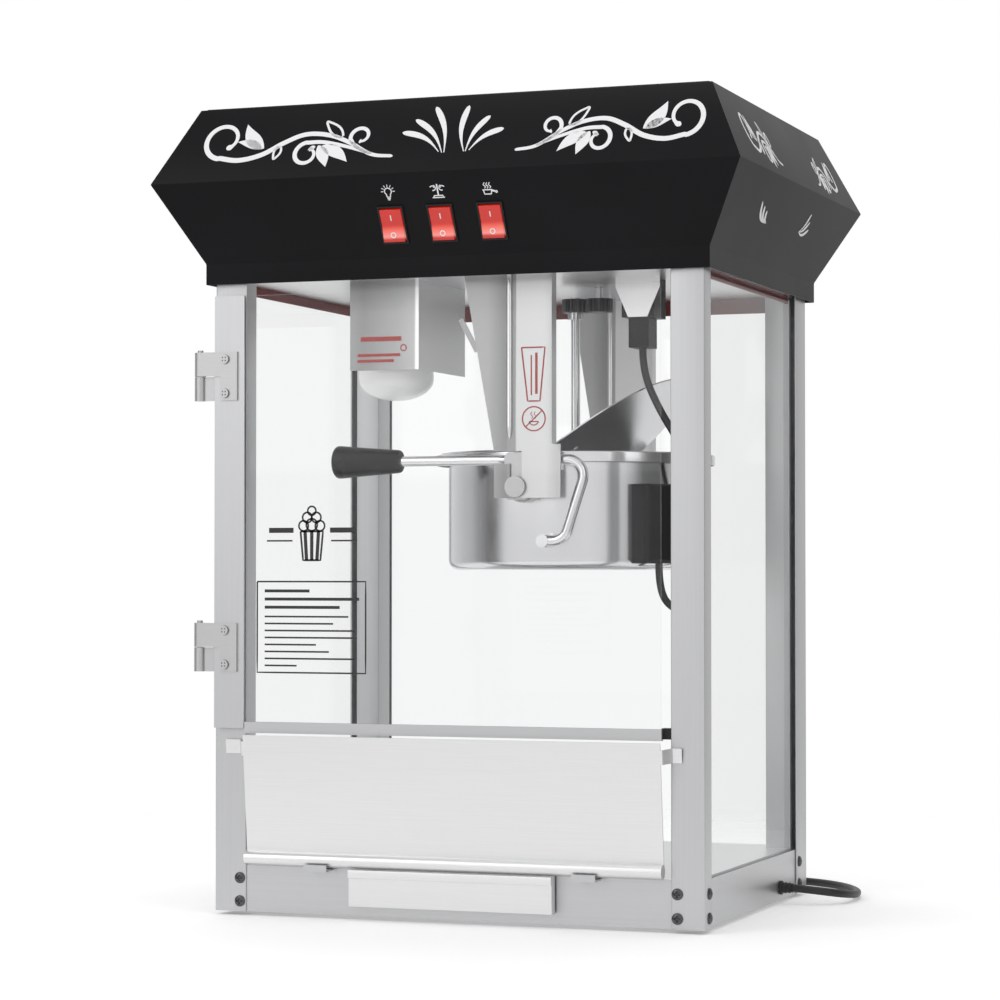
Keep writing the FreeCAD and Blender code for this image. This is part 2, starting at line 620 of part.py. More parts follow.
def rocker(index):
    """Red rocker: two flats that meet at a low ridge, over a half-round back about its pivot."""
    half = "(rocker_length / 2)"
    edge = f"({half} * cos(rocker_tilt) - 2 * rocker_gap)"
    rise = f"({half} * sin(rocker_tilt))"
    points = [
        (f"-{edge}", f"rocker_proud + {rise}"), ("0", "rocker_proud - 0.6"), (edge, "rocker_proud - 0.2"),
        (f"{edge} * 0.98", "-2.5"), ("4", "-rocker_depth + 4"), ("-4", "-rocker_depth + 4"),
        (f"-{edge} * 0.98", "-2.5"),
    ]
    body = pad(f"rocker_{index}", "YZ_Plane", points, "-rocker_width / 2", "rocker_width / 2")
    node(switch_frame(body, index), f"rocker_{('lamp', 'stirrer', 'heater')[index]}")


# ---------------------------------------------------------------- door


HINGE_X = f"(-({HALF_W}) - barrel_offset)"
DOOR_FACE = f"({HALF_D} + door_gap + pane_thickness + strip_thickness)"
HINGE_Y = f"(-({DOOR_FACE}) - leaf_thickness + barrel_radius)"


def door():
    """Clear pane, hinge strip and bottom rail."""
    back = f"-({HALF_D} + door_gap)"
    front = f"-({HALF_D} + door_gap + pane_thickness)"
    top = f"{CEILING} - door_top_gap"
    node(box("door_pane", ("pane_left", front, "foot_height + door_bottom"), ("pane_right", back, top)),
         "door_pane")
    node(box("door_hinge_strip", ("strip_left", f"-{DOOR_FACE}", "foot_height + strip_bottom"),
             ("strip_right", front, top)), "door_hinge_strip")
    low = "foot_height + door_bottom - rail_wall - 2"
    outer = box("rail_outer", ("strip_right + 0.3", f"{front} - rail_wall", low),
                ("pane_right + rail_over", f"{back} + 0.5", f"{low} + rail_height"))
    groove = box("rail_groove", ("strip_right - 5", front, "foot_height + door_bottom"),
                 ("pane_right", back, f"{low} + 30"))
    node(cut("door_bottom_rail", outer, groove), "door_bottom_rail")


def hinge_leaf(name, middle):
    """Door leaf with its upper knuckle and screws, and the post leaf with its pin and lower knuckle."""
    low, high = f"foot_height + {middle} - leaf_height / 2", f"foot_height + {middle} + leaf_height / 2"
    split = f"foot_height + {middle}"
    face = f"-{DOOR_FACE}"
    plate = box(name + "_plate", (HINGE_X, f"{face} - leaf_thickness", split),
                ("leaf_right", face, high))
    lower = box(name + "_lower", ("strip_left + 6", f"{face} - leaf_thickness", low),
                ("leaf_right", face, split))
    knuckle = cylinder(name + "_knuckle", "barrel_radius", "leaf_height / 2 - knuckle_gap / 2", HINGE_X,
                       HINGE_Y, f"{split} + knuckle_gap / 2")
    bore = cylinder(name + "_bore", "pin_radius + pin_gap", "leaf_height", HINGE_X, HINGE_Y, split)
    clear = box(name + "_clear", (f"{HINGE_X} - 9", f"{face} - 9", f"{split} - 1"),
                ("strip_left", f"{face} + 20", f"{split} + knuckle_gap / 2"))
    screws = []
    for sign in (-1, 1):
        z = f"{split} + {sign} * hinge_screw_pitch / 2"
        x = "leaf_right - 11.5"
        screws.append(cylinder(name + "_screw", "screw_head_radius - 0.8", "screw_head_height - 0.4", x,
                               f"{face} - leaf_thickness", z, Vector(0, -1, 0)))
    door_leaf = fuse(name + "_door_leaf", cut(name + "_cut", fuse(name + "_sheet", plate, lower, knuckle),
                                              bore, clear),
                     *screws)

    wall = f"-({HALF_W})"
    web = box(name + "_web", (HINGE_X, f"{HINGE_Y} - 1", low),
              (wall, f"{HINGE_Y} + 1", f"{split} - knuckle_gap / 2"))
    flange = box(name + "_flange", (f"{wall} - leaf_thickness", f"{HINGE_Y} - 1", low),
                 (wall, f"-({HALF_D}) + 17", f"{split} - knuckle_gap / 2"))
    lower_knuckle = cylinder(name + "_lower_knuckle", "barrel_radius", "leaf_height / 2 - knuckle_gap / 2",
                             HINGE_X, HINGE_Y, low)
    pin = cylinder(name + "_pin", "pin_radius", "leaf_height + 2", HINGE_X, HINGE_Y, low)
    return door_leaf, fuse(name + "_post_leaf", web, flange, lower_knuckle, pin)


def hinges():
    upper = hinge_leaf("hinge_upper", "(post_height - upper_hinge_drop)")
    lower = hinge_leaf("hinge_lower", "lower_hinge")
    node(compound("door_hinge_leaves", upper[0], lower[0]), "door_hinge_leaves")
    node(compound("post_hinge_leaves", upper[1], lower[1]), "post_hinge_leaves")
    x1 = f"{HALF_W} - post_width"
    back = f"-({HALF_D} + door_gap) + 0.5 + 0.3"
    node(box("door_magnet", (f"{x1} - magnet_width", back, "foot_height + door_bottom - 2"),
             (x1, f"{back} + magnet_depth", "foot_height + door_bottom - 2 + magnet_height")), "door_magnet")


# ---------------------------------------------------------------- serving panel and drawer


def serving_panel():
    """Leaning front sheet on a rolled bottom edge, with two bent side tabs that rest on the posts."""
    roll = cylinder("panel_roll", "roll_radius", "panel_right - panel_left", "panel_left", "0", "0",
                    Vector(1, 0, 0))
    bore = cylinder("panel_roll_bore", "roll_radius - panel_sheet", "panel_right - panel_left - 4",
                    "panel_left + 2", "0", "0", Vector(1, 0, 0))
    back = "roll_radius - 2"
    height = "(panel_top - sill_height - roll_radius - roll_gap) / cos(panel_lean)"
    sheet = box("panel_sheet_flat", ("panel_left", f"{back} - panel_sheet", "0"),
                ("panel_right", back, height))
    tabs = [panel_tab(side) for side in (-1, 1)]
    whole = fuse("serving_panel", cut("panel_tube", roll, bore), sheet, *tabs)
    whole.Placement = Placement(Vector(), Rotation(Vector(1, 0, 0), v.panel_lean))
    bind(whole, "Placement.Rotation.Angle", "panel_lean")
    place(whole, 0, f"-({HALF_D} + roll_out)", f"{DECK} + roll_radius + roll_gap")
    return node(whole, "serving_panel")


def panel_tab(side):
    """Side tab in plan: off the sheet's edge, bent back, then flat over the post's face."""
    root = "panel_right" if side > 0 else "panel_left"
    tip = "tab_right" if side > 0 else "tab_left"
    sheet = "panel_sheet"
    low = "(tab_bottom - sill_height - roll_radius)"
    start = "roll_radius - 2"
    rest = f"roll_out + {low} * tan(panel_lean) - tab_gap"
    step = 7 * side
    points = [
        (f"{root} - {side}", start), (f"{root} + {step * 0.15}", start), (f"{root} + {step}", rest),
        (tip, rest),
        (tip, f"{rest} - {sheet}"), (f"{root} + {step * 1.06}", f"{rest} - {sheet}"),
        (f"{root} + {step * 0.25}", f"{start} - {sheet}"), (f"{root} - {side}", f"{start} - {sheet}"),
    ]
    return pad(f"panel_tab_{'right' if side > 0 else 'left'}", "XY_Plane", points, low, f"{low} + tab_height")


def kernel_drawer():
    """Open tray that slides on the rails, and its folded front with a pull lip."""
    floor = "foot_height + drawer_bottom + tray_lift - 1.2"
    rim = "foot_height + drawer_top - tray_lift - tray_gap"
    front = f"-({HALF_D} - post_wall - sill_sheet)"
    half = "tray_width / 2"
    outer = box("tray_outer", (f"-({half})", f"{front} - post_wall - sill_sheet - 1", floor),
                (half, f"{front} + tray_depth", rim))
    inner = box("tray_inner",
                (f"-({half}) + drawer_sheet", f"{front} - post_wall - sill_sheet - 1 + drawer_sheet",
                 f"{floor} + drawer_sheet"),
                (f"{half} - drawer_sheet", f"{front} + tray_depth - drawer_sheet", f"{rim} + 9"))
    node(cut("drawer_tray", outer, inner), "drawer_tray")
    back = f"({HALF_D} + 1)"
    face = f"({HALF_D} + drawer_reach)"
    low, high = "foot_height + drawer_bottom", "foot_height + drawer_top"
    sheet = "panel_sheet"
    lip = f"{high} - pull_lip_height"
    points = [
        (f"-{back}", high), (f"-{face} - pull_lip_proud", high), (f"-{face} - pull_lip_proud", lip),
        (f"-{face}", lip), (f"-{face}", low), (f"-{back}", low), (f"-{back}", f"{low} + {sheet}"),
        (f"-{face} + {sheet}", f"{low} + {sheet}"), (f"-{face} + {sheet}", f"{high} - {sheet}"),
        (f"-{back}", f"{high} - {sheet}"),
    ]
    channel = pad("drawer_channel", "YZ_Plane", points, "-drawer_width / 2", "drawer_width / 2")
    ends = [box(f"drawer_end_{i}", (x0, f"-{face}", low), (x1, f"-{back}", high))
            for i, (x0, x1) in enumerate((("-drawer_width / 2", f"-drawer_width / 2 + {sheet}"),
                                          (f"drawer_width / 2 - {sheet}", "drawer_width / 2")))]
    node(fuse("drawer_front", channel, *ends), "drawer_front")


# ---------------------------------------------------------------- kettle


def on_kettle(obj):
    """Put a turned piece, drawn about the kettle's own axis and pivot height, in place."""
    return place(obj, "kettle_x", "kettle_y", PIVOT)


RIM = "(kettle_above)"


def kettle():
    """Outer shell, inner pan, heater and rim, all turned about the kettle's axis."""
    outer, wall, corner = "kettle_radius", "kettle_wall", "kettle_corner"
    low, top = "-kettle_below", f"{RIM} - rim_sheet"
    cut45 = "(kettle_corner * 0.3)"
    shell = revolve("kettle_shell", [
        ("0", low), (f"{outer} - {corner}", low), (f"{outer} - {cut45}", f"{low} + {cut45}"),
        (outer, f"{low} + {corner}"), (outer, top), (f"{outer} - {wall}", top),
        (f"{outer} - {wall}", f"{low} + {corner}"),
        (f"{outer} - {cut45} - {wall} * 0.75", f"{low} + {cut45} + {wall} * 0.75"),
        (f"{outer} - {corner}", f"{low} + {wall}"), ("0", f"{low} + {wall}")])
    node(on_kettle(shell), "kettle_shell")
    pan = f"({outer} - {wall} - pan_gap)"
    floor = f"({low} + pan_floor)"
    node(on_kettle(revolve("kettle_pan", [
        ("6", floor), (f"{pan} - 12", floor), (pan, f"{floor} + 12"), (pan, f"{top} - {wall}"),
        (f"{outer} - {wall}", f"{top} - {wall}"), (f"{outer} - {wall}", top), (f"{pan} - {wall}", top),
        (f"{pan} - {wall}", f"{floor} + 12.5"), (f"{pan} - 12.5", f"{floor} + {wall}"),
        ("9", f"{floor} + {wall}"), ("9", f"{floor} + 9"), ("6", f"{floor} + 9")])), "kettle_pan")
    node(on_kettle(revolve("kettle_heater", [
        ("heater_inner", f"{floor} - heater_height"), ("heater_outer", f"{floor} - heater_height"),
        ("heater_outer", floor), ("heater_inner", floor)])), "kettle_heater")
    edge = f"({outer} + rim_width)"
    sheet = "rim_sheet"
    node(on_kettle(revolve("kettle_rim", [
        (f"{outer} - 3", f"{RIM} - {sheet}"), (f"{edge} - {sheet}", f"{RIM} - {sheet}"),
        (f"{edge} - {sheet}", f"{RIM} - rim_height"), (edge, f"{RIM} - rim_height"), (edge, f"{RIM} - 1"),
        (f"{edge} - 1", RIM), (f"{outer} - 3", RIM)])), "kettle_rim")


ROD_X = "(lid_bar_width / 2 + lid_barrel_radius)"
ROD_Z = f"({RIM} + lid_gap + lid_barrel_radius)"


def lid_bar():
    """Bar across the rim with four posts that hold the two hinge rods."""
    half = "lid_bar_width / 2"
    reach = "kettle_radius + rim_width - 3"
    bar = box("bar_flat", (f"-{half}", f"-({reach})", RIM), (half, reach, f"{RIM} + lid_bar_sheet"))
    bore = cylinder("bar_bore", "shaft_radius + shaft_gap", "9", "0", "0", f"{RIM} - 3")
    pieces = [cut("bar_bored", bar, bore)]
    for side in (-1, 1):
        rod_x = f"{side} * {ROD_X}"
        pieces.append(cylinder("lid_rod", "lid_rod_radius", "2 * lid_rod_half", rod_x, "-lid_rod_half", ROD_Z,
                               Vector(0, 1, 0)))
        for end in (-1, 1):
            y = f"{end} * (lid_rod_half - 2)"
            inner, outer = f"({half} - 4)", f"({ROD_X} + 2.4)"
            x0, x1 = (inner, outer) if side > 0 else (f"-{outer}", f"-{inner}")
            pieces.append(box("lid_post", (x0, f"{y} - 2", f"{RIM} + lid_bar_sheet"),
                              (x1, f"{y} + 2", f"{ROD_Z} + lid_rod_radius + 1")))
    whole = fuse("lid_bar", *pieces)
    return node(on_kettle(whole), "lid_bar")


def lid(side, label, angle):
    """Half-round flap with a barrel on its hinge rod and a finger tab, turned up by an angle."""
    radius = v.kettle_radius + v.rim_width - v.lid_margin
    rod_x = v.lid_bar_width / 2 + v.lid_barrel_radius
    low = -v.lid_barrel_radius
    disc = Part.makeCylinder(radius, v.lid_sheet, Vector(-rod_x, 0, low))
    tab = Part.makeBox(radius + v.lid_tab_reach, v.lid_tab_width, v.lid_sheet,
                       Vector(-rod_x, -v.lid_tab_width / 2, low))
    plate = disc.fuse(tab).common(Part.makeBox(2 * radius, 2 * radius, 9, Vector(0, -radius, low - 1)))
    inner, outer = v.lid_rod_half - 4 - v.lid_gap - 1, v.lid_rod_half + v.lid_gap + 1
    for end in (-1, 1):
        low_y = inner if end > 0 else -outer
        notch = Part.makeBox(5.5 + v.lid_barrel_radius, outer - inner, 9, Vector(-1, low_y, low - 1))
        plate = plate.cut(notch)
    barrel_half = inner - 0.5
    barrel = Part.makeCylinder(v.lid_barrel_radius, 2 * barrel_half, Vector(0, -barrel_half, 0),
                               Vector(0, 1, 0))
    bore = Part.makeCylinder(v.lid_rod_radius + v.pin_gap, 4 * barrel_half, Vector(0, -2 * barrel_half, 0),
                             Vector(0, 1, 0))
    shape = plate.fuse(barrel).cut(bore).removeSplitter()
    if side < 0:
        shape = shape.mirror(Vector(), Vector(1, 0, 0))
    spin = Rotation(Vector(0, 1, 0), -side * angle)
    at = Vector(v.kettle_x + side * rod_x, v.kettle_y,
                pivot + v.kettle_above + v.lid_gap + v.lid_barrel_radius)
    return node(feature(label, shape, Placement(at, spin)), label)


HANGER_FRONT = "(kettle_y - kettle_radius - rim_width - hanger_space)"
HANGER_REAR = "(kettle_y + kettle_radius + rim_width + hanger_space)"


def trunnions():
    """Stepped pivots, one on each side: boss on the kettle wall, journal in the slot, retaining head."""
    offset = v.pivot_x - v.kettle_x
    wall = math.sqrt(v.kettle_radius ** 2 - offset ** 2) - 0.1
    pieces = []
    for side in (-1, 1):
        out = Vector(0, side, 0)
        plate = rim_radius + v.hanger_space
        boss = Part.makeCylinder(v.trunnion_boss_radius, rim_radius + 0.5 - wall, out * wall, out)
        journal = Part.makeCylinder(v.trunnion_radius, plate + v.hanger_sheet + v.trunnion_head + 0.5 - wall,
                                    out * wall, out)
        head = Part.makeCylinder(v.trunnion_head_radius, v.trunnion_head,
                                 out * (plate + v.hanger_sheet + 0.5), out)
        inside = Part.makeCylinder(v.kettle_radius, 60, Vector(-offset, 0, -30))
        half, above = v.pivot_plate_half, v.handle_above + v.rod_radius + 2
        face = side * (plate - v.pivot_plate_gap)
        ys = sorted((face, face - side * v.pivot_plate))
        tie = Part.makeBox(2 * half, v.pivot_plate, above + half, Vector(-half, ys[0], -half))
        tie = tie.makeFillet(5, [e for e in tie.Edges if e.BoundBox.YLength > 1])
        pieces.append(boss.fuse([journal, head, tie]).cut(inside))
    shape = Part.makeCompound(pieces)
    return node(feature("trunnions", shape, Placement(Vector(v.pivot_x, v.kettle_y, pivot), Rotation())),
                "trunnions")


def hanger(name, side):
    """Hanger in plan: flange, flat, bent wing; then trimmed to its outline and slotted."""
    plate = HANGER_FRONT if side < 0 else HANGER_REAR
    sign = side
    sheet = "hanger_sheet"
    wing = "tan(hanger_wing_angle)"
    left = "(hanger_top_left - 12)"
    run = f"(hanger_crease - {left})"
    edge = "hanger_plate_right"
    points = [
        (left, f"{sign} * {run} * {wing}"), ("hanger_crease", "0"), (edge, "0"), (edge, f"{sign} * {sheet}"),
        ("hanger_crease", f"{sign} * {sheet}"), (left, f"{sign} * ({run} * {wing} + {sheet})"),
    ]
    if side > 0:
        points = points[::-1]
    low, high = f"{PIVOT} - hanger_below", CEILING
    blank = place(pad(name + "_blank", "XY_Plane", points, low, high), 0, plate)
    y0, y1 = (f"{plate} - 40", f"{plate} + 9") if side < 0 else (f"{plate} - 9", f"{plate} + 40")
    neck = f"{CEILING} - hanger_neck_drop"
    trim_left = pad(name + "_trim_left", "XZ_Plane", [
        ("hanger_top_left - 60", f"{high} + 1"), ("hanger_top_left", f"{high} + 1"),
        ("hanger_neck_left", neck),
        ("hanger_neck_left", f"{low} - 1"), ("hanger_top_left - 60", f"{low} - 1")], y0, y1)
    trim_right = box(name + "_trim_right", ("hanger_top_right", y0, f"{PIVOT} + flange_clear"),
                     (f"{edge} + 1", y1, f"{high} + 1"))
    half = "(trunnion_radius + slot_gap)"
    slot = pad(name + "_slot", "XZ_Plane", [
        ("hanger_neck_left - 30", f"{PIVOT} + slot_above + {half}"),
        (f"pivot_x + {half}", f"{PIVOT} + slot_above + {half}"),
        (f"pivot_x + {half}", PIVOT), (f"pivot_x - {half}", PIVOT),
        (f"pivot_x - {half}", f"{PIVOT} + slot_above - {half}"),
        ("hanger_neck_left - 30", f"{PIVOT} + slot_above - {half}")], y0, y1)
    seat = cylinder(name + "_seat", half, "49", "pivot_x", y0, PIVOT, Vector(0, 1, 0))
    trimmed = cut(name + "_trimmed", blank, trim_left, trim_right, slot, seat)
    flange_ys = (f"{plate} - hanger_flange", plate) if side < 0 else (plate, f"{plate} + hanger_flange")
    flange = box(name + "_flange", (f"hanger_top_right - {sheet}", flange_ys[0], f"{PIVOT} + flange_clear"),
                 ("hanger_top_right", flange_ys[1], high))
    return node(fuse(name, trimmed, flange), name)


def handle():
    """Bent bar in front of the rim, bolted to the kettle low down, and its tapered grip."""
    y = v.kettle_y - rim_radius - v.rod_gap - v.rod_radius
    z = pivot + v.handle_above
    foot = pivot - v.foot_below
    points = [(v.grip_left + 14, y, z), (v.elbow_x, y, z), (v.foot_x, y, foot), (v.foot_end_x, y, foot)]
    rod, _, _ = tube(points, v.rod_radius, bend=v.rod_bend)
    wall = v.kettle_y - math.sqrt(v.kettle_radius ** 2 - (v.foot_end_x - v.kettle_x) ** 2)
    spacer = Part.makeCylinder(v.rod_radius + 1.4, wall + 3 - y, Vector(v.foot_end_x, y, foot),
                               Vector(0, 1, 0))
    head = Vector(v.foot_end_x, y - v.rod_radius - 0.6, foot)
    bolt = Part.makeCylinder(v.rod_radius + 1, 3, head, Vector(0, 1, 0))
    block_x = v.pivot_x + v.trunnion_boss_radius + 9
    block = Part.makeBox(14, 12, 8, Vector(block_x, y, z - v.rod_radius - 4))
    inside = Part.makeCylinder(v.kettle_radius, 200, Vector(v.kettle_x, v.kettle_y, pivot - 100))
    rim_low = pivot + v.kettle_above - v.rim_height - 0.1
    rim = Part.makeCylinder(rim_radius + 0.1, 50, Vector(v.kettle_x, v.kettle_y, rim_low))
    rod = rod.fuse([spacer, bolt, block]).cut([inside, rim])
    node(feature("handle_rod", rod), "handle_rod")
    length = v.grip_right - v.grip_left
    end, neck = v.grip_end_radius, v.grip_neck_radius
    profile = Part.Wire([
        Part.LineSegment(Vector(14, 0, 0), Vector(0, 0, 0)).toShape(),
        Part.Arc(Vector(0, 0, 0), Vector(3.6, 0, end * 0.74), Vector(12, 0, end)).toShape(),
        Part.LineSegment(Vector(12, 0, end), Vector(length - 2, 0, neck)).toShape(),
        Part.LineSegment(Vector(length - 2, 0, neck), Vector(length, 0, neck - 2)).toShape(),
        Part.LineSegment(Vector(length, 0, neck - 2), Vector(length, 0, 0)).toShape(),
        Part.LineSegment(Vector(length, 0, 0), Vector(14, 0, 0)).toShape()])
    grip = Part.Face(profile).revolve(Vector(), Vector(1, 0, 0), 360)
    grip = grip.cut(Part.makeCylinder(v.rod_radius, length, Vector(14, 0, 0), Vector(1, 0, 0)))
    node(feature("handle_grip", grip, Placement(Vector(v.grip_left, y, z), Rotation())), "handle_grip")


def terminal_box():
    """Covered terminals on the kettle's right side, curved to the wall behind."""
    turn = math.radians(v.terminal_angle)
    reach = v.kettle_radius - 6
    low = -v.terminal_height + v.terminal_above
    case = Part.makeBox(v.terminal_depth + 6, v.terminal_width, v.terminal_height,
                        Vector(reach, -v.terminal_width / 2, low))
    case = case.makeFillet(5, [e for e in case.Edges if e.BoundBox.XMin > reach + 9])
    wall = Part.makeCylinder(v.kettle_radius, 400, Vector(0, 0, -200))
    shape = case.cut(wall)
    at = Placement(Vector(v.kettle_x, v.kettle_y, pivot), Rotation(Vector(0, 0, 1), v.terminal_angle))
    return node(feature("terminal_box", shape, at), "terminal_box")


# ---------------------------------------------------------------- stirrer and its drive


def gear(label, x, bore, phase):
    """Spur gear with involute flanks, its axis vertical at kettle_y."""
    count, module = int(v.gear_teeth), v.gear_module
    pitch = module * count / 2
    base, tip, root = pitch * math.cos(math.radians(20)), pitch + module, pitch - 1.25 * module
    backlash = 0.16 / pitch

    def flank(radius):
        """Angle of the involute at a radius, measured from its start."""
        slope = math.sqrt(max((radius / base) ** 2 - 1, 0))
        return slope - math.atan(slope)

    half_tooth = math.pi / (2 * count) + flank(pitch) - backlash
    steps = [max(base, root) + (tip - max(base, root)) * i / 5 for i in range(6)]
    edges = []

    def polar(radius, angle):
        return Vector(radius * math.cos(angle), radius * math.sin(angle), 0)

    for tooth in range(count):
        middle = 2 * math.pi * tooth / count
        rising = [polar(r, middle - half_tooth + flank(r)) for r in steps]
        falling = [polar(r, middle + half_tooth - flank(r)) for r in reversed(steps)]
        start = polar(root, middle - half_tooth)
        end = polar(root, middle + half_tooth)
        following = polar(root, middle + 2 * math.pi / count - half_tooth)
        valley = polar(root, middle + math.pi / count)
        curve_up, curve_down = Part.BSplineCurve(), Part.BSplineCurve()
        curve_up.interpolate(rising)
        curve_down.interpolate(falling)
        edges += [Part.LineSegment(start, rising[0]).toShape(), curve_up.toShape(),
                  Part.Arc(rising[-1], polar(tip, middle), falling[0]).toShape(), curve_down.toShape(),
                  Part.LineSegment(falling[-1], end).toShape(), Part.Arc(end, valley, following).toShape()]
    blank = Part.Face(Part.Wire(edges)).extrude(Vector(0, 0, v.gear_thickness))
    blank = blank.cut(Part.makeCylinder(bore, 40, Vector(0, 0, -9)))
    spin = Rotation(Vector(0, 0, 1), phase)
    at = Vector(x, v.kettle_y, ceiling - v.gear_bottom_drop)
    return node(feature(label, blank, Placement(at, spin)), label)


def stirrer():
    """Gear, shaft and two-bladed arm that turn together inside the kettle."""
    gear("stirrer_gear", v.kettle_x, v.shaft_radius, 0)
    floor = pivot - v.kettle_below + v.pan_floor + 9.6
    top = ceiling - v.gear_bottom_drop + v.gear_thickness + 1.5
    shaft = Part.makeCylinder(v.shaft_radius, top - floor, Vector(0, 0, floor))
    hub = Part.makeCylinder(v.shaft_radius + 4, 14, Vector(0, 0, floor))
    collar = Part.makeCylinder(v.shaft_radius + 3, 6, Vector(0, 0, ceiling - v.gear_bottom_drop - 6))
    pieces = [hub, collar]
    low = pivot - v.kettle_below + v.pan_floor + v.kettle_wall + 0.8
    arm = v.kettle_radius - v.arm_clear
    for side in (-1, 1):
        turn = Rotation(Vector(0, 0, 1), 90 + 90 * side)
        bar = Part.makeBox(arm, 5, 3, Vector(0, -2.5, floor + 3))
        blade = Part.makeBox(16, 2, floor + 6 - low, Vector(arm - 16, -1, low))
        heel = Part.makeBox(16, 2, floor + 6 - low, Vector(30, -1, low))
        sweep = bar.fuse([blade, heel])
        sweep.Placement = Placement(Vector(), turn)
        pieces.append(sweep)
    whole = shaft.fuse(pieces).removeSplitter()
    stand = Placement(Vector(v.kettle_x, v.kettle_y, 0), Rotation(Vector(0, 0, 1), 25))
    node(feature("stirrer_shaft", whole, stand), "stirrer_shaft")
    motor_x = v.kettle_x + v.gear_module * v.gear_teeth + v.mesh_slack
    gear("motor_gear", motor_x, v.motor_shaft_radius, 180 + 180 / v.gear_teeth)
    node(cylinder("motor_shaft", "motor_shaft_radius", "gear_bottom_drop + ceiling_sheet + 6", MOTOR_X,
                  "kettle_y", f"{CEILING} - gear_bottom_drop"), "motor_shaft")
    base = f"{CEILING} + ceiling_sheet"
    case = box("motor_case", (f"{MOTOR_X} - motor_width / 2", "kettle_y - motor_depth / 2", base),
               (f"{MOTOR_X} + motor_width / 2", "kettle_y + motor_depth / 2", f"{base} + motor_height"))
    can = cylinder("motor_can", "can_radius", "can_height", f"{MOTOR_X} + 6", "kettle_y",
                   f"{base} + motor_height")
    bore = cylinder("motor_bore", "motor_shaft_radius + pin_gap", "12", MOTOR_X, "kettle_y", f"{base} - 1")
    node(cut("stirrer_motor", fuse("motor_body", case, can), bore), "stirrer_motor")


# ---------------------------------------------------------------- lamp and outlet


def lamp():
    """Reflector lamp in a holder above the ceiling, behind a guard bent from one sheet."""
    bottom = ceiling - v.lamp_drop
    r, length = v.lamp_radius, v.lamp_length
    profile = Part.Wire([
        Part.LineSegment(Vector(0, 0, length), Vector(0, 0, 0)).toShape(),
        Part.Arc(Vector(0, 0, 0), Vector(r * 0.8, 0, r * 0.15), Vector(r, 0, r * 0.48)).toShape(),
        Part.Arc(Vector(r, 0, r * 0.48), Vector(r * 0.9, 0, length * 0.36),
                 Vector(13.5, 0, length - 20)).toShape(),
        Part.LineSegment(Vector(13.5, 0, length - 20), Vector(13.5, 0, length)).toShape(),
        Part.LineSegment(Vector(13.5, 0, length), Vector(0, 0, length)).toShape()])
    bulb = Part.Face(profile).revolve(Vector(), Vector(0, 0, 1), 360)
    node(feature("lamp_bulb", bulb, Placement(Vector(v.lamp_x, v.lamp_y, bottom), Rotation())), "lamp_bulb")
    base = f"{CEILING} - lamp_drop + lamp_length - 20"
    sleeve = cylinder("holder_sleeve", "19.5", "40", "lamp_x", "lamp_y", base)
    flange = cylinder("holder_flange", "27", "3", "lamp_x", "lamp_y", f"{CEILING} + ceiling_sheet")
    socket = cylinder("holder_socket", "13.6", "22", "lamp_x", "lamp_y", f"{base} - 2")
    node(cut("lamp_holder", fuse("holder_body", sleeve, flange), socket), "lamp_holder")
    low = f"{CEILING} - guard_drop"
    points = [
        ("guard_left", "guard_front"), ("guard_right", "guard_front"), ("guard_right", "guard_back"),
        ("guard_right - guard_sheet", "guard_back"),
        ("guard_right - guard_sheet", "guard_front + guard_sheet"),
        ("guard_left", "guard_front + guard_sheet")]
    node(pad("lamp_guard", "XY_Plane", points, low, CEILING), "lamp_guard")


def outlet():
    """Outlet box under the ceiling behind its tapered cover, the lead's plug, and the lead."""
    low = f"{CEILING} - cover_drop"
    cover = pad("cover_plate", "XZ_Plane", [
        ("outlet_x - cover_top_half", CEILING),
        ("outlet_x - cover_top_half", f"{CEILING} - cover_drop * 0.24"),
        ("outlet_x - cover_bottom_half", low), ("outlet_x + cover_bottom_half", low),
        ("outlet_x + cover_top_half", f"{CEILING} - cover_drop * 0.24"),
        ("outlet_x + cover_top_half", CEILING)],
        "outlet_y - plug_depth / 2 - 3", "outlet_y - plug_depth / 2 - 2")
    node(cover, "outlet_cover")
    half = "(plug_depth / 2)"
    node(box("outlet_box", ("outlet_x - cover_bottom_half - 6", f"outlet_y - {half} - 2", low),
             ("outlet_x + cover_bottom_half + 6", f"outlet_y + {half} + 8", CEILING)), "outlet_box")
    plug = box("plug_block", ("outlet_x - plug_width / 2", f"outlet_y - {half}", f"{low} - plug_height"),
               ("outlet_x + plug_width / 2", f"outlet_y + {half}", low))
    node(plug, "lead_plug")
    bottom = ceiling - v.cover_drop - v.plug_height
    turn = math.radians(v.terminal_angle)
    reach = v.kettle_radius + v.terminal_depth / 2
    end = Vector(v.kettle_x + reach * math.cos(turn), v.kettle_y + reach * math.sin(turn),
                 pivot - v.terminal_height + v.terminal_above)
    x, y = v.outlet_x, v.outlet_y
    side = Vector(x + 46, y + 39, 0)
    across = Vector(end.x, end.y, 0) - side
    low = end.z - 40
    knee = low + 0.293 * across.Length
    turn_in, turn_out = side + across * 0.293, side + across * 0.707
    points = [
        (x, y, bottom), (x, y, bottom - 20), (x + 14, y, bottom - 52), (x + 30, y + 7, bottom - 80),
        (x + 40, y + 17, bottom - 112), (side.x, side.y, bottom - 155), (side.x, side.y, knee),
        (turn_in.x, turn_in.y, low), (turn_out.x, turn_out.y, low), (end.x, end.y, knee), tuple(end)]
    shape, length, radii = tube(points, v.lead_radius, 0.48)
    print("kettle lead", round(length), "mm, radii", [round(r) for r in radii], "volume ratio",
          round(shape.Volume / (math.pi * v.lead_radius ** 2 * length), 3))
    node(feature("kettle_lead", shape), "kettle_lead")


# ---------------------------------------------------------------- mains cord


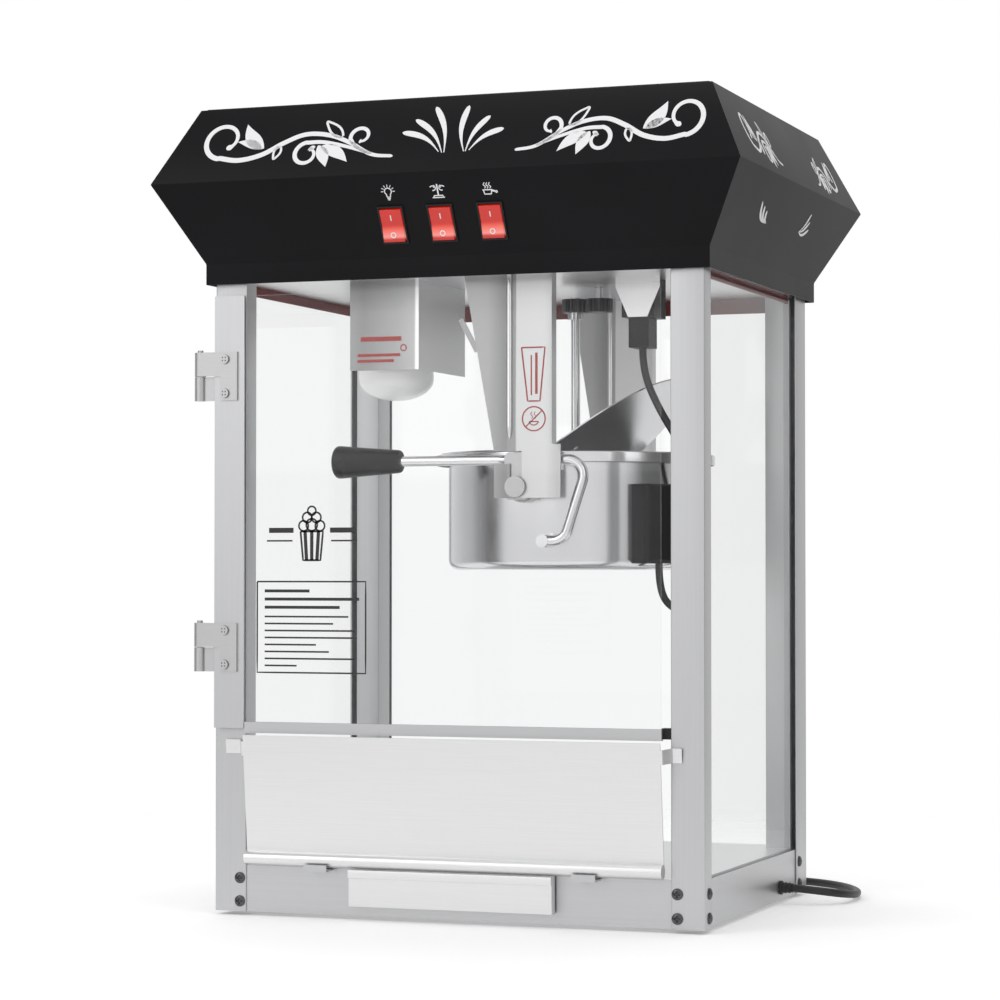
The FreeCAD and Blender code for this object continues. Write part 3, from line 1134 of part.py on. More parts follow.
def mains():
    """Strain relief in the right sill, the free cord, its coil behind the cabinet and the plug."""
    wall = half_w - v.post_wall
    at = Vector(wall, v.cord_exit_y, v.cord_exit_z)
    out = Vector(1, 0, 0)
    neck = v.relief_radius - 1 - 0.1
    relief = Part.makeCylinder(v.relief_radius, v.relief_flange, at, out)
    shank = v.sill_sheet + 8
    taper = Part.makeCone(neck - 0.4, v.cord_radius + 0.9, v.relief_stub, at + out * v.relief_flange, out)
    relief = relief.fuse([Part.makeCylinder(neck, shank, at - out * shank, out), taper])
    exit_x = wall + v.relief_flange + v.relief_stub
    node(feature("strain_relief", relief), "strain_relief")
    r, y, z = v.cord_radius, v.cord_exit_y, v.cord_exit_z
    floor = r + 0.2
    coil_edge = v.coil_x + v.coil_radius + v.coil_half_width
    points = [
        (exit_x, y, z), (exit_x + 25, y + 1, z - 2), (exit_x + 44, y + 20, z - 6),
        (exit_x + 46, y + 56, floor + 1), (exit_x + 36, y + 94, floor), (exit_x + 15, y + 128, floor),
        (exit_x - 15, y + 153, floor), (exit_x - 52, y + 168, floor), (coil_edge, v.coil_y + 18, floor)]
    shape, length, radii = tube(points, r)
    print("mains cord", round(length), "mm, radii", [round(a) for a in radii], "volume ratio",
          round(shape.Volume / (math.pi * r ** 2 * length), 3))
    low, high = v.coil_radius - v.coil_half_width, v.coil_radius + v.coil_half_width
    ring = Part.makeCylinder(high, v.coil_height, Vector(v.coil_x, v.coil_y, 0.2))
    ring = ring.cut(Part.makeCylinder(low, 99, Vector(v.coil_x, v.coil_y, -1)))
    free = shape.cut(Part.makeCylinder(high, 99, Vector(v.coil_x, v.coil_y, -1)))
    node(feature("power_cord", free), "power_cord")
    node(feature("power_cord_coil", ring), "power_cord_coil")
    mains_plug(high)


def mains_plug(coil_outside):
    """Moulded plug lying on the floor beside the coil, its strain boot against the coil."""
    body = Part.makeBox(26, 26, 19, Vector(16, -13, 0))
    body = body.makeFillet(4,
                           [e for e in body.Edges if abs(e.BoundBox.YLength) < 1 or e.BoundBox.XLength < 1])
    boot = Part.makeCone(v.cord_radius + 1, 7.5, 18, Vector(0, 0, 9.5), Vector(1, 0, 0))
    blades = [Part.makeBox(17, 1.5, 6.3, Vector(41, s * 6.35 - 0.75, 6)) for s in (-1, 1)]
    pin = Part.makeCylinder(2.4, 19, Vector(41, 0, 13.5), Vector(1, 0, 0))
    shape = body.fuse([boot, pin] + blades)
    at = Placement(Vector(v.coil_x - coil_outside - 0.5, v.coil_y - 12, 0.2), Rotation(Vector(0, 0, 1), 190))
    node(feature("power_plug", shape, at), "power_plug")


# ---------------------------------------------------------------- build and export


def build():
    for side in (-1, 1):
        for end in ("front", "rear"):
            corner_post(side, end)
    sill("front")
    sill("rear")
    side_sills()
    base_pan()
    deck_plate()
    drawer_guides()
    rubber_feet()
    frame_screws()
    windows()
    canopy()
    switches()
    door()
    hinges()
    serving_panel()
    kernel_drawer()
    kettle()
    lid_bar()
    lid(-1, "lid_left", 0)
    lid(1, "lid_right", v.lid_right_angle)
    trunnions()
    handle()
    terminal_box()
    hanger("hanger_front", -1)
    hanger("hanger_rear", 1)
    stirrer()
    lamp()
    outlet()
    mains()
    doc.recompute()


def export():
    """Stop on any failed object, then write one STEP file for each piece."""
    for obj in doc.Objects:
        if {"Invalid", "Error"} & set(obj.State):
            raise RuntimeError(f"{obj.Label} failed: {obj.State} {obj.getStatusString()}")
    for obj in nodes:
        if obj.Shape.isNull() or not obj.Shape.isValid():
            raise RuntimeError(f"{obj.Label} has no valid shape")
    os.makedirs("parts", exist_ok=True)
    for obj in nodes:
        obj.Shape.exportStep(f"parts/{obj.Label}.step")
    print(len(nodes), "pieces written")


build()
export()
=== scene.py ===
"""Looks of the tabletop popcorn maker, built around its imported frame. All lengths are metres."""
import json
import math

import bmesh
import bpy
import numpy as np
from bpy.props import FloatProperty, FloatVectorProperty, PointerProperty
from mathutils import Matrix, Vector


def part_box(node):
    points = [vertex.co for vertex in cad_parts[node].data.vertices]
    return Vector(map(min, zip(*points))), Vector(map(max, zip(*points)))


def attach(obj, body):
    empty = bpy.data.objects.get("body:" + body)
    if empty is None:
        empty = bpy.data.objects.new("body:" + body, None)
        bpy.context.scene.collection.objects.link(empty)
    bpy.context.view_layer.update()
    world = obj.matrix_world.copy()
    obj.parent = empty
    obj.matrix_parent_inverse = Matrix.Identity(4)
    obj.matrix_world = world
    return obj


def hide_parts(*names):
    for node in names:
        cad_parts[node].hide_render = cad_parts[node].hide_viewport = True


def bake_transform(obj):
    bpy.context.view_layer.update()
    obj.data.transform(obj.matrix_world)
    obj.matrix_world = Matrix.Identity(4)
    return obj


bl_info = {
    "name": "Popcorn Maker",
    "version": (1, 0, 0),
    "blender": (4, 5, 0),
    "location": "3D View > Sidebar > Popcorn",
    "description": "Finishes and trim of a tabletop popcorn maker",
    "category": "Object",
}

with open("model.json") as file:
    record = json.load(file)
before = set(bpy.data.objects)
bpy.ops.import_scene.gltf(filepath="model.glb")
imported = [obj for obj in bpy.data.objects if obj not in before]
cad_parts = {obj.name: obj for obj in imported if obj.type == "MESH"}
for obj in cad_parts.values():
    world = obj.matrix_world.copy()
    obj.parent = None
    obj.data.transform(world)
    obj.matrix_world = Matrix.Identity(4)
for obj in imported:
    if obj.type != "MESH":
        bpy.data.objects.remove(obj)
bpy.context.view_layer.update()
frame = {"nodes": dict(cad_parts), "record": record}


def corners(node):
    """Lowest and highest corner of a CAD node as two arrays."""
    low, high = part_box(node)
    return np.array(low), np.array(high)


# ---------------------------------------------------------------- settings


def colour(name, description, default):
    return FloatVectorProperty(name=name, description=description, default=default, subtype="COLOR",
                               size=3, min=0, max=1)


def size(name, description, default):
    return FloatProperty(name=name, description=description, default=default, unit="LENGTH", min=0)


class PopcornFinishes(bpy.types.PropertyGroup):
    """Colours of the machine's materials."""

    steel: colour("Steel", "Brushed stainless sheet", (0.78, 0.78, 0.785))
    aluminium: colour("Aluminium", "Anodised posts and door strip", (0.55, 0.553, 0.56))
    polished: colour("Polished steel", "Kettle and lids", (0.8, 0.8, 0.81))
    powder: colour("Powder coat", "Canopy", (0.007, 0.007, 0.008))
    print_white: colour("Print", "White print on the canopy", (0.86, 0.86, 0.87))
    print_red: colour("Label print", "Red print on the labels", (0.42, 0.05, 0.04))
    print_black: colour("Door print", "Dark print on the door", (0.02, 0.02, 0.02))
    rocker: colour("Rocker", "Lighted switch rockers", (0.78, 0.025, 0.012))
    plastic: colour("Black plastic", "Grip, bezels, plug and boxes", (0.012, 0.012, 0.013))
    lamp: colour("Lamp glass", "Frosted lamp", (0.86, 0.87, 0.86))


class PopcornSizes(bpy.types.PropertyGroup):
    """Sizes of the trim that the finishes add."""

    ink: size("Ink thickness", "How far print stands off its sheet", 0.00025)
    fold: size("Fold radius", "Rounding of the canopy's folds", 0.0022)
    cord: size("Cord diameter", "Mains cord", 0.007)
    cord_length: size("Cord length", "Mains cord from strain relief to plug", 1.8)


# ---------------------------------------------------------------- surfaces


def grid_faces(rows, columns, wrap_rows=False, wrap_columns=False):
    """Quads between neighbouring points of a grid numbered row by row."""
    index = np.arange(rows * columns).reshape(rows, columns)
    if wrap_rows:
        index = np.vstack([index, index[:1]])
    if wrap_columns:
        index = np.hstack([index, index[:, :1]])
    return np.stack([index[:-1, :-1], index[1:, :-1], index[1:, 1:], index[:-1, 1:]], axis=-1).reshape(-1, 4)


def make_mesh(name, points, faces):
    """Object from an array of points and a list of faces, doubles merged and normals outwards."""
    mesh = bpy.data.meshes.new(name)
    mesh.from_pydata(np.asarray(points).reshape(-1, 3).tolist(), [], [list(map(int, f)) for f in faces])
    work = bmesh.new()
    work.from_mesh(mesh)
    bmesh.ops.remove_doubles(work, verts=work.verts, dist=1e-7)
    bmesh.ops.recalc_face_normals(work, faces=work.faces)
    work.to_mesh(mesh)
    work.free()
    obj = bpy.data.objects.new(name, mesh)
    bpy.context.scene.collection.objects.link(obj)
    return obj


def shade(obj, angle=35):
    """Smooth shading that keeps edges sharper than an angle."""
    obj.data.polygons.foreach_set("use_smooth", np.ones(len(obj.data.polygons), bool))
    work = bmesh.new()
    work.from_mesh(obj.data)
    for edge in work.edges:
        edge.smooth = not edge.is_manifold or edge.calc_face_angle(0) < math.radians(angle)
    work.to_mesh(obj.data)
    work.free()


def finish_piece(obj, material, body, smooth=35):
    """Material, shading and body of a new piece."""
    obj.data.materials.append(material)
    shade(obj, smooth)
    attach(obj, body)
    return obj


def turned(name, profile, centre, steps=160):
    """Closed profile (radius, height) carried round a vertical axis: x = r cos t, y = r sin t, z = h."""
    radius, height = np.array(profile, float).T
    turn = np.linspace(0, 2 * np.pi, steps, endpoint=False)[:, None]
    points = np.stack([radius * np.cos(turn), radius * np.sin(turn), height + 0 * turn], axis=-1)
    return make_mesh(name, points + np.array(centre), grid_faces(steps, len(radius), True, True))


def turned_level(name, profile, origin, steps):
    """Open profile (x, radius) carried round a level axis that runs through a point."""
    turn = np.linspace(0, 2 * np.pi, steps, endpoint=False)[:, None]
    points = np.stack([profile[:, 0] + 0 * turn, profile[:, 1] * np.cos(turn),
                       profile[:, 1] * np.sin(turn)], axis=-1)
    return make_mesh(name, points + np.array(origin), grid_faces(steps, len(profile), True, False))


def rounded(points, radius, steps=6):
    """Corner points joined by arcs of one radius: each corner becomes a short quadratic blend."""
    points = np.array(points, float)
    out = []
    for i in range(len(points)):
        before, at, after = points[i - 1], points[i], points[(i + 1) % len(points)]
        back, ahead = before - at, after - at
        reach_back = min(radius, np.linalg.norm(back) * 0.45)
        reach_ahead = min(radius, np.linalg.norm(ahead) * 0.45)
        start = at + back / np.linalg.norm(back) * reach_back
        end = at + ahead / np.linalg.norm(ahead) * reach_ahead
        t = np.linspace(0, 1, steps)[:, None]
        out.append((1 - t) ** 2 * start + 2 * t * (1 - t) * at + t ** 2 * end)
    return np.vstack(out)


def smooth_path(points, count, closed=False):
    """Cubic curve through points: Catmull-Rom weights on four neighbours at each place."""
    points = np.array(points, float)
    if not closed:
        points = np.vstack([2 * points[0] - points[1], points, 2 * points[-1] - points[-2]])
    spans = len(points) - 3
    place = np.linspace(0, spans, count)
    first = np.minimum(place.astype(int), spans - 1)
    t = (place - first)[:, None]
    a, b, c, d = (points[first + k] for k in range(4))
    return 0.5 * (2 * b + (c - a) * t + (2 * a - 5 * b + 4 * c - d) * t ** 2
                  + (3 * b - a - 3 * c + d) * t ** 3)


def unit(vectors):
    return vectors / np.linalg.norm(vectors, axis=-1, keepdims=True)


def ribbon_points(path, width, thickness):
    """Flat strip in the plane: rectangle of half width w(s) across the path's normal, carried along it."""
    path, width = np.array(path, float), np.array(width, float)[:, None]
    along = unit(np.gradient(path, axis=0))
    across = np.stack([-along[:, 1], along[:, 0]], axis=1)
    left, right = path + across * width, path - across * width
    low, high = np.zeros((len(path), 1)), np.full((len(path), 1), thickness)
    section = [np.hstack([left, low]), np.hstack([right, low]), np.hstack([right, high]),
               np.hstack([left, high])]
    return np.stack(section, axis=1)


def strips(name, shapes, place):
    """One mesh of several closed strips, each a (rows, 4, 3) block, put in place by a function."""
    points, faces, start = [], [], 0
    for block in shapes:
        rows = len(block)
        quads = grid_faces(rows, 4, False, True) + start
        faces += quads.tolist()
        faces += [[start, start + 1, start + 2, start + 3], [start + 4 * rows - k for k in (1, 2, 3, 4)]]
        points.append(place(block.reshape(-1, 3)))
        start += 4 * rows
    return make_mesh(name, np.vstack(points), faces)


def tube_points(path, radius, sides=16):
    """Round section carried along a path: normals are turned with the path so that the skin never twists."""
    path = np.array(path, float)
    along = unit(np.gradient(path, axis=0))
    normal = np.cross(along[0], (0, 0, 1.0))
    if np.linalg.norm(normal) < 0.1:
        normal = np.cross(along[0], (1.0, 0, 0))
    normals = [normal / np.linalg.norm(normal)]
    for direction in along[1:]:
        carried = normals[-1] - direction * np.dot(normals[-1], direction)
        normals.append(carried / np.linalg.norm(carried))
    normals = np.array(normals)
    second = np.cross(along, normals)
    angle = np.linspace(0, 2 * np.pi, sides, endpoint=False)[None, :, None]
    radius = np.broadcast_to(np.array(radius, float), (len(path),))[:, None, None]
    return path[:, None] + radius * (normals[:, None] * np.cos(angle) + second[:, None] * np.sin(angle))


def tube(name, path, radius, sides=16):
    """Closed round bar along a path, with flat ends."""
    points = tube_points(path, radius, sides)
    rows = len(points)
    faces = grid_faces(rows, sides, False, True).tolist()
    faces += [list(range(sides)), [rows * sides - 1 - k for k in range(sides)]]
    return make_mesh(name, points, faces)


# ---------------------------------------------------------------- materials


class Value:
    """A shader socket in arithmetic: every operator adds the Math node that works it out."""

    def __init__(self, finish, socket):
        self.finish, self.socket = finish, socket

    def math(self, operation, *others):
        return self.finish.add("ShaderNodeMath", {"operation": operation}, [self, *others])

    def __add__(self, other):
        return self.math("ADD", other)

    def __sub__(self, other):
        return self.math("SUBTRACT", other)

    def __mul__(self, other):
        return self.math("MULTIPLY", other)

    def __truediv__(self, other):
        return self.math("DIVIDE", other)

    def __pow__(self, other):
        return self.math("POWER", other)

    def __rsub__(self, other):
        return self.finish.add("ShaderNodeMath", {"operation": "SUBTRACT"}, [other, self])

    __radd__ = __add__
    __rmul__ = __mul__

    def clamp(self, low=0.0, high=1.0):
        return self.math("MAXIMUM", low).math("MINIMUM", high)


class Finish:
    """One procedural material: its nodes, its main shader and the coordinates of its surface."""

    def __init__(self, name, **settings):
        self.material = bpy.data.materials.new(name)
        self.material.use_nodes = True
        self.tree = self.material.node_tree
        self.shader = self.tree.nodes["Principled BSDF"]
        for key, value in settings.items():
            socket = self.shader.inputs[key.replace("_", " ")]
            socket.default_value = (*value, 1) if hasattr(value, "__len__") and len(value) == 3 else value
        self.place = self.add("ShaderNodeTexCoord", output="Object")

    def add(self, kind, settings=None, inputs=(), output=0):
        """Add any node: settings first, then each socket's value or link. Returns one output."""
        node = self.tree.nodes.new(kind)
        for key, value in (settings or {}).items():
            if key == "stops":
                self.ramp(node, value)
            else:
                setattr(node, key, value)
        pairs = inputs.items() if isinstance(inputs, dict) else enumerate(inputs)
        for key, value in pairs:
            if isinstance(value, Value):
                self.tree.links.new(value.socket, node.inputs[key])
            elif value is not None:
                node.inputs[key].default_value = value
        return Value(self, node.outputs[output])

    @staticmethod
    def ramp(node, stops):
        """Set a colour ramp's stops from (place, grey or colour) pairs."""
        elements = node.color_ramp.elements
        while len(elements) < len(stops):
            elements.new(0.5)
        for element, (place, value) in zip(elements, stops):
            element.position = place
            element.color = (value, value, value, 1) if isinstance(value, float) else (*value, 1)

    def feed(self, **sockets):
        """Link values to the main shader's sockets."""
        for key, value in sockets.items():
            self.tree.links.new(value.socket, self.shader.inputs[key.replace("_", " ")])
        return self

    def stretched(self, scale):
        """Surface coordinates scaled by axis."""
        return self.add("ShaderNodeMapping", None, {"Vector": self.place, "Scale": scale})

    def noise(self, scale=1.0, detail=3.0, vector=None, roughness=0.5):
        return self.add("ShaderNodeTexNoise", None, {"Vector": vector or self.place, "Scale": scale,
                                                     "Detail": detail, "Roughness": roughness})

    def ramped(self, value, *stops):
        return self.add("ShaderNodeValToRGB", {"stops": stops}, [value])

    def blend(self, factor, first, second):
        """Mix two colours by a factor."""
        pair = [(*c, 1) if not isinstance(c, Value) else c for c in (first, second)]
        return self.add("ShaderNodeMix", {"data_type": "RGBA"}, {0: factor, 6: pair[0], 7: pair[1]}, output=2)

    def bump(self, height, distance, strength=1.0):
        return self.add("ShaderNodeBump", None,
                        {"Height": height, "Distance": distance, "Strength": strength})


def tint(base, factor):
    """A colour made lighter or darker, worked out as numbers."""
    return tuple(min(1.0, c * factor) for c in base)


def brushed(name, base, grain, roughness=0.3, depth=0.000006, metallic=1.0, contrast=0.05):
    """Metal with fine scratches: noise stretched along the grain drives roughness, tone and bump."""
    finish = Finish(name, Metallic=metallic)
    fine = finish.noise(1.0, 2.0, finish.stretched(grain))
    broad = finish.noise(7.0, 1.0)
    finish.feed(
        Base_Color=finish.blend(fine, tint(base, 1 - contrast), tint(base, 1 + contrast)),
        Roughness=(roughness - 0.06) + fine * 0.08 + broad * 0.05,
        Normal=finish.bump(fine, depth, 0.5))
    return finish.material


def painted_light_bands(name, base, *stops):
    """Brushed sheet with painted light and shade: its tone follows a ramp of level positions, painted to look
    as bent sheet does in a softly lit room.
    """
    finish = Finish(name, Metallic=0.9)
    fine = finish.noise(1.0, 2.0, finish.stretched((1800, 1800, 14)))
    level = finish.add("ShaderNodeSeparateXYZ", None, [finish.place])
    low, high = stops[0][0], stops[-1][0]
    share = (level - low) / (high - low) + fine * 0.03 - 0.015
    tone = finish.ramped(share.clamp(), *[((x - low) / (high - low), tint(base, k)) for x, k in stops])
    finish.feed(Base_Color=tone, Roughness=0.28 + fine * 0.1, Normal=finish.bump(fine, 0.000006, 0.5))
    return finish.material


def polished(name, base, roughness=0.1):
    """Polished steel with faint turning marks and heat haze."""
    finish = Finish(name, Metallic=1.0)
    rings = finish.noise(1.0, 3.0, finish.stretched((3.0, 3.0, 900.0)))
    haze = finish.noise(14.0, 4.0)
    finish.feed(
        Base_Color=finish.blend(haze, tint(base, 0.9), tint(base, 1.06)),
        Roughness=roughness + haze * 0.1 + rings * 0.04,
        Normal=finish.bump(rings, 0.00001, 0.35))
    return finish.material


def powder_coat(name, base):
    """Satin powder coat: fine pebbled bump and a little uneven gloss."""
    finish = Finish(name, Specular_IOR_Level=0.1)
    pebble = finish.noise(1400.0, 2.0)
    cloud = finish.noise(7.0, 3.0)
    finish.feed(
        Base_Color=finish.blend(cloud, tint(base, 0.8), tint(base, 1.5)),
        Roughness=0.3 + cloud * 0.12 + pebble * 0.06,
        Normal=finish.bump(pebble, 0.00004, 0.35))
    return finish.material


def moulded(name, base, roughness=0.45, scale=1600.0, depth=0.00005, **extra):
    """Moulded plastic or rubber with a fine spark-eroded grain."""
    finish = Finish(name, **extra)
    grain = finish.noise(scale, 2.0)
    patch = finish.noise(25.0, 3.0)
    finish.feed(
        Base_Color=finish.blend(patch, tint(base, 0.85), tint(base, 1.2)),
        Roughness=(roughness - 0.06) + patch * 0.12,
        Normal=finish.bump(grain, depth, 0.4))
    return finish.material


def ink(name, base):
    """Screen-printed ink: nearly flat colour with a fine mottle."""
    finish = Finish(name)
    mottle = finish.noise(700.0, 3.0)
    finish.feed(Base_Color=finish.blend(mottle, tint(base, 0.93), tint(base, 1.04)),
                Roughness=0.4 + mottle * 0.15)
    return finish.material


def clear_sheet(name, film, haze=0.012):
    """Clear pane: a mirror film that grows with the slant, over a clear sheet with wipe marks."""
    finish = Finish(name)
    tree = finish.tree
    wipe = finish.noise(1.0, 3.0, finish.stretched((6.0, 6.0, 22.0)))
    facing = finish.add("ShaderNodeLayerWeight", None, {"Blend": 0.5}, output=1)
    factor = (0.006 + facing ** 5 * 0.6 + wipe * haze).clamp(0, 1)
    through = finish.add("ShaderNodeBsdfTransparent", None, {"Color": (*film, 1)})
    mirror = finish.add("ShaderNodeBsdfGlossy", None, {"Color": (0.96, 0.97, 0.97, 1), "Roughness": 0.03})
    both = finish.add("ShaderNodeMixShader", None, [factor, through, mirror])
    tree.links.new(both.socket, tree.nodes["Material Output"].inputs["Surface"])
    tree.nodes.remove(finish.shader)
    return finish.material


def cloudy_glass(name, base, glow):
    """Frosted lamp glass: white inside coating with a faint cloud, faint glow."""
    finish = Finish(name, Coat_Weight=0.6, Coat_Roughness=0.05, Emission_Strength=glow)
    cloud = finish.noise(30.0, 2.0)
    finish.feed(Base_Color=finish.blend(cloud, tint(base, 0.94), tint(base, 1.05)),
                Roughness=0.25 + cloud * 0.1)
    finish.shader.inputs["Emission Color"].default_value = (*base, 1)
    return finish.material


def dress(material, *nodes):
    """Give CAD nodes a material, in every slot they have."""
    for name in nodes:
        mesh = frame["nodes"][name].data
        mesh.materials.clear()
        mesh.materials.append(material)


def merged(name, node, material, fold=0.0, shortest=0.1, angle=32):
    """Copy of a CAD node that stands for it: doubles merged, curved skins smooth, long folds rounded."""
    work = bmesh.new()
    work.from_mesh(frame["nodes"][node].data)
    bmesh.ops.remove_doubles(work, verts=work.verts, dist=2e-6)
    bmesh.ops.dissolve_degenerate(work, edges=work.edges, dist=1e-7)
    if fold:
        bmesh.ops.dissolve_limit(work, angle_limit=math.radians(0.5), verts=work.verts, edges=work.edges)
        folds = [e for e in work.edges
                 if e.is_manifold and e.calc_face_angle(0) > math.radians(20) and e.calc_length() > shortest]
        bmesh.ops.bevel(work, geom=folds, offset=fold, segments=3, profile=0.5, affect="EDGES",
                        clamp_overlap=True)
    mesh = bpy.data.meshes.new(name)
    work.to_mesh(mesh)
    work.free()
    obj = bpy.data.objects.new(name, mesh)
    bpy.context.scene.collection.objects.link(obj)
    mesh.materials.append(material)
    shade(obj, angle)
    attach(obj, body_of(node))
    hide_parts(node)
    slot_of(node)
    return obj


def body_of(node):
    """Body that a CAD node belongs to."""
    return next(name for name, members in frame["record"]["behaviour"]["bodies"].items() if node in members)


def slot_of(node):
    """Material slot that the record gives a CAD node."""
    return frame["nodes"][node].data.materials[0].name.split(".")[0]


def slab(name, outline, low, high, plane="xz", radius=0.0, bevel=0.0, steps=5):
    """Plate: a rounded outline carried along the third axis, its rims stepped in by a small bevel."""
    points = rounded(outline, radius, steps) if radius else np.array(outline, float)
    sides = unit(np.roll(points, -1, axis=0) - points)
    normals = np.stack([sides[:, 1], -sides[:, 0]], axis=1)
    joined = normals + np.roll(normals, 1, axis=0)
    joined /= np.maximum((joined * normals).sum(1, keepdims=True), 0.3)
    area = np.sum(points[:, 0] * np.roll(points[:, 1], -1) - points[:, 1] * np.roll(points[:, 0], -1))
    inside = points - joined * bevel * np.sign(area)
    levels = [(inside, low), (points, low + bevel), (points, high - bevel), (inside, high)] if bevel else \
        [(points, low), (points, high)]
    order = {"xy": (0, 1, 2), "xz": (0, 2, 1), "yz": (2, 0, 1)}[plane]
    rows = np.stack([np.hstack([ring, np.full((len(ring), 1), level)])[:, order] for ring, level in levels])
    count = len(points)
    faces = grid_faces(len(levels), count, False, True).tolist()
    faces += [list(range(count)), list(range(count * (len(levels) - 1), count * len(levels)))]
    return make_mesh(name, rows, faces)


# ---------------------------------------------------------------- places on the machine

HALF_WIDTH, HALF_DEPTH = 0.220, 0.167
SKIRT_TOP, BULGE_HEIGHT, SLOPE_HEAD = 0.562, 0.6286, 0.6957
SKIRT, BULGE, HEAD = 0.0068, 0.0428, 0.0101
KETTLE = np.array([0.051, 0.005, 0.3675])
UNDER_CEILING = 0.5478
MM = 0.001
# The rockers' two faces meet in a ridge; each face leans out of the slope by its own angle.
RIDGE_UP, RIDGE_OUT = 0.0296, 0.0024
TOP_TILT, LOW_TILT = math.radians(1.5), math.radians(-9.25)
MARK_THICKNESS = 0.0004


class Slope:
    """Sloping canopy face: u level to the right seen from outside, w up the slope, then height off it."""

    def __init__(self, foot, head, level):
        self.foot, self.level = np.array(foot), np.array(level, float)
        self.up = unit(np.array(head) - self.foot)
        self.out = np.cross(self.level, self.up)

    def __call__(self, points):
        return self.foot + points @ np.stack([self.level, self.up, self.out])


def slope_pair(direction, half):
    """Lower and upper slope of the canopy on the side that a level direction points to."""
    out = np.array([*direction, 0.0])
    level = np.array([-direction[1], direction[0], 0.0])

    def at(overhang, height):
        return out * (half + overhang) + np.array([0, 0, height])

    return (Slope(at(SKIRT, SKIRT_TOP), at(BULGE, BULGE_HEIGHT), level),
            Slope(at(BULGE, BULGE_HEIGHT), at(HEAD, SLOPE_HEAD), level))


# ---------------------------------------------------------------- scrolls on the canopy


def curl(centre, start_radius, end_radius, start, end, count=40):
    """Spiral: the radius shrinks evenly from one value to the other as the angle turns (degrees)."""
    t = np.linspace(0, 1, count)
    angle = np.radians(start + (end - start) * t)
    radius = start_radius + (end_radius - start_radius) * t ** 1.3
    return np.array(centre) + radius[:, None] * np.stack([np.cos(angle), np.sin(angle)], axis=1)


def stroke(path, widest, head=0.35, knob=0.0):
    """Pen stroke: half width swells as a sine along the path, with a small knob at its end."""
    t = np.linspace(0, 1, len(path))
    width = widest * (head + (1 - head) * np.sin(np.pi * np.clip(t * 0.85 + 0.1, 0, 1)))
    width += knob * np.exp(-((t - 0.975) / 0.018) ** 2)
    width[0] *= 0.45
    width[-1] *= 0.3
    return np.array(path), width


def leaf(base, tip, widest, lean=0.0, skew=0.8):
    """Filled leaf: half width is a sine of the place along a spine that bows sideways by lean."""
    base, tip = np.array(base, float), np.array(tip, float)
    t = np.linspace(0, 1, 24)[:, None]
    side = np.array([-(tip - base)[1], (tip - base)[0]]) * lean
    path = base + (tip - base) * t + side * np.sin(np.pi * t)
    return path, np.maximum(widest * np.sin(np.pi * t[:, 0] ** skew), 0.08)


def open_leaf(base, tip, widest, line=0.75):
    """Outlined leaf: a pen line round the edge of a leaf and back to its base."""
    path, width = leaf(base, tip, widest)
    along = unit(np.gradient(path, axis=0))
    across = np.stack([-along[:, 1], along[:, 0]], axis=1) * width[:, None]
    loop = np.vstack([path + across, (path - across)[::-1][1:]])
    return smooth_path(loop[::3], 60), np.full(60, line)


def petal(root, tip, widest, lean):
    """Drop-shaped petal: a thin tail that swells towards a round tip."""
    root, tip = np.array(root, float), np.array(tip, float)
    t = np.linspace(0, 1, 30)[:, None]
    side = np.array([-(tip - root)[1], (tip - root)[0]]) * lean
    path = root + (tip - root) * t + side * np.sin(np.pi * t)
    width = widest * 2.1 * t[:, 0] ** 1.7 * np.sqrt(np.maximum(1 - t[:, 0], 0)) + 0.4 * (1 - t[:, 0])
    return path, np.maximum(width, 0.08)


def vine():
    """Scroll of stems, curls and leaves, from a tip at u = 0 to a big curl at u = -178 (millimetres)."""
    stem = [(0, 17), (-20, 20), (-42, 33), (-62, 41.5), (-84, 43.5), (-103, 36), (-122, 25), (-143, 20.5),
            (-163, 24)]
    long_stem = np.vstack([smooth_path(stem, 90)[:-1], curl((-159.5, 41.5), 18.6, 8.5, -100, -432, 70)])
    low_stem = np.vstack([smooth_path([(-20, 20.5), (-44, 29), (-66, 34.6), (-82, 35)], 40)[:-1],
                          curl((-80, 23.5), 11.8, 5.2, 98, 432, 60)])
    high_stem = np.vstack([smooth_path([(-26, 23), (-36, 29), (-41.5, 36)], 30)[:-1],
                           curl((-32.5, 38.6), 9.4, 4.6, 196, -100, 50)])
    return [
        stroke(long_stem, 2.4, 0.45, 1.4), stroke(low_stem, 2.0, 0.45, 1.2),
        stroke(high_stem, 1.8, 0.45, 1.2),
        leaf((-121, 31.5), (-141, 57), 6.6, 0.1), leaf((-123, 31.5), (-147, 39.5), 4.2, -0.06),
        leaf((-70.5, 31.5), (-60, 9.5), 5.4, 0.04), leaf((-68, 30.5), (-41, 13.5), 5.6, 0.08),
        leaf((-73, 31), (-79.5, 27.5), 2.0),
        open_leaf((-106, 33), (-110, 19.5), 3.1, 1.0), open_leaf((-49, 38.5), (-67, 56), 4.3, 1.0),
    ]


def shifted(shapes, offset, across=1.0, up=1.0, rise=0.0):
    """Shapes moved along the face, stretched across (negative turns them over) and up."""
    return [(path * np.array([across, up]) + np.array([offset, rise]), width * math.sqrt(abs(across)))
            for path, width in shapes]


def printed(name, shapes, slope, thickness):
    """Flat print on a slope from (path, half width) shapes in millimetres."""
    blocks = []
    for path, width in shapes:
        block = ribbon_points(path * MM, width * MM, thickness + 0.00012)
        block[..., 2] -= 0.00012
        blocks.append(block)
    return strips(name, blocks, slope)


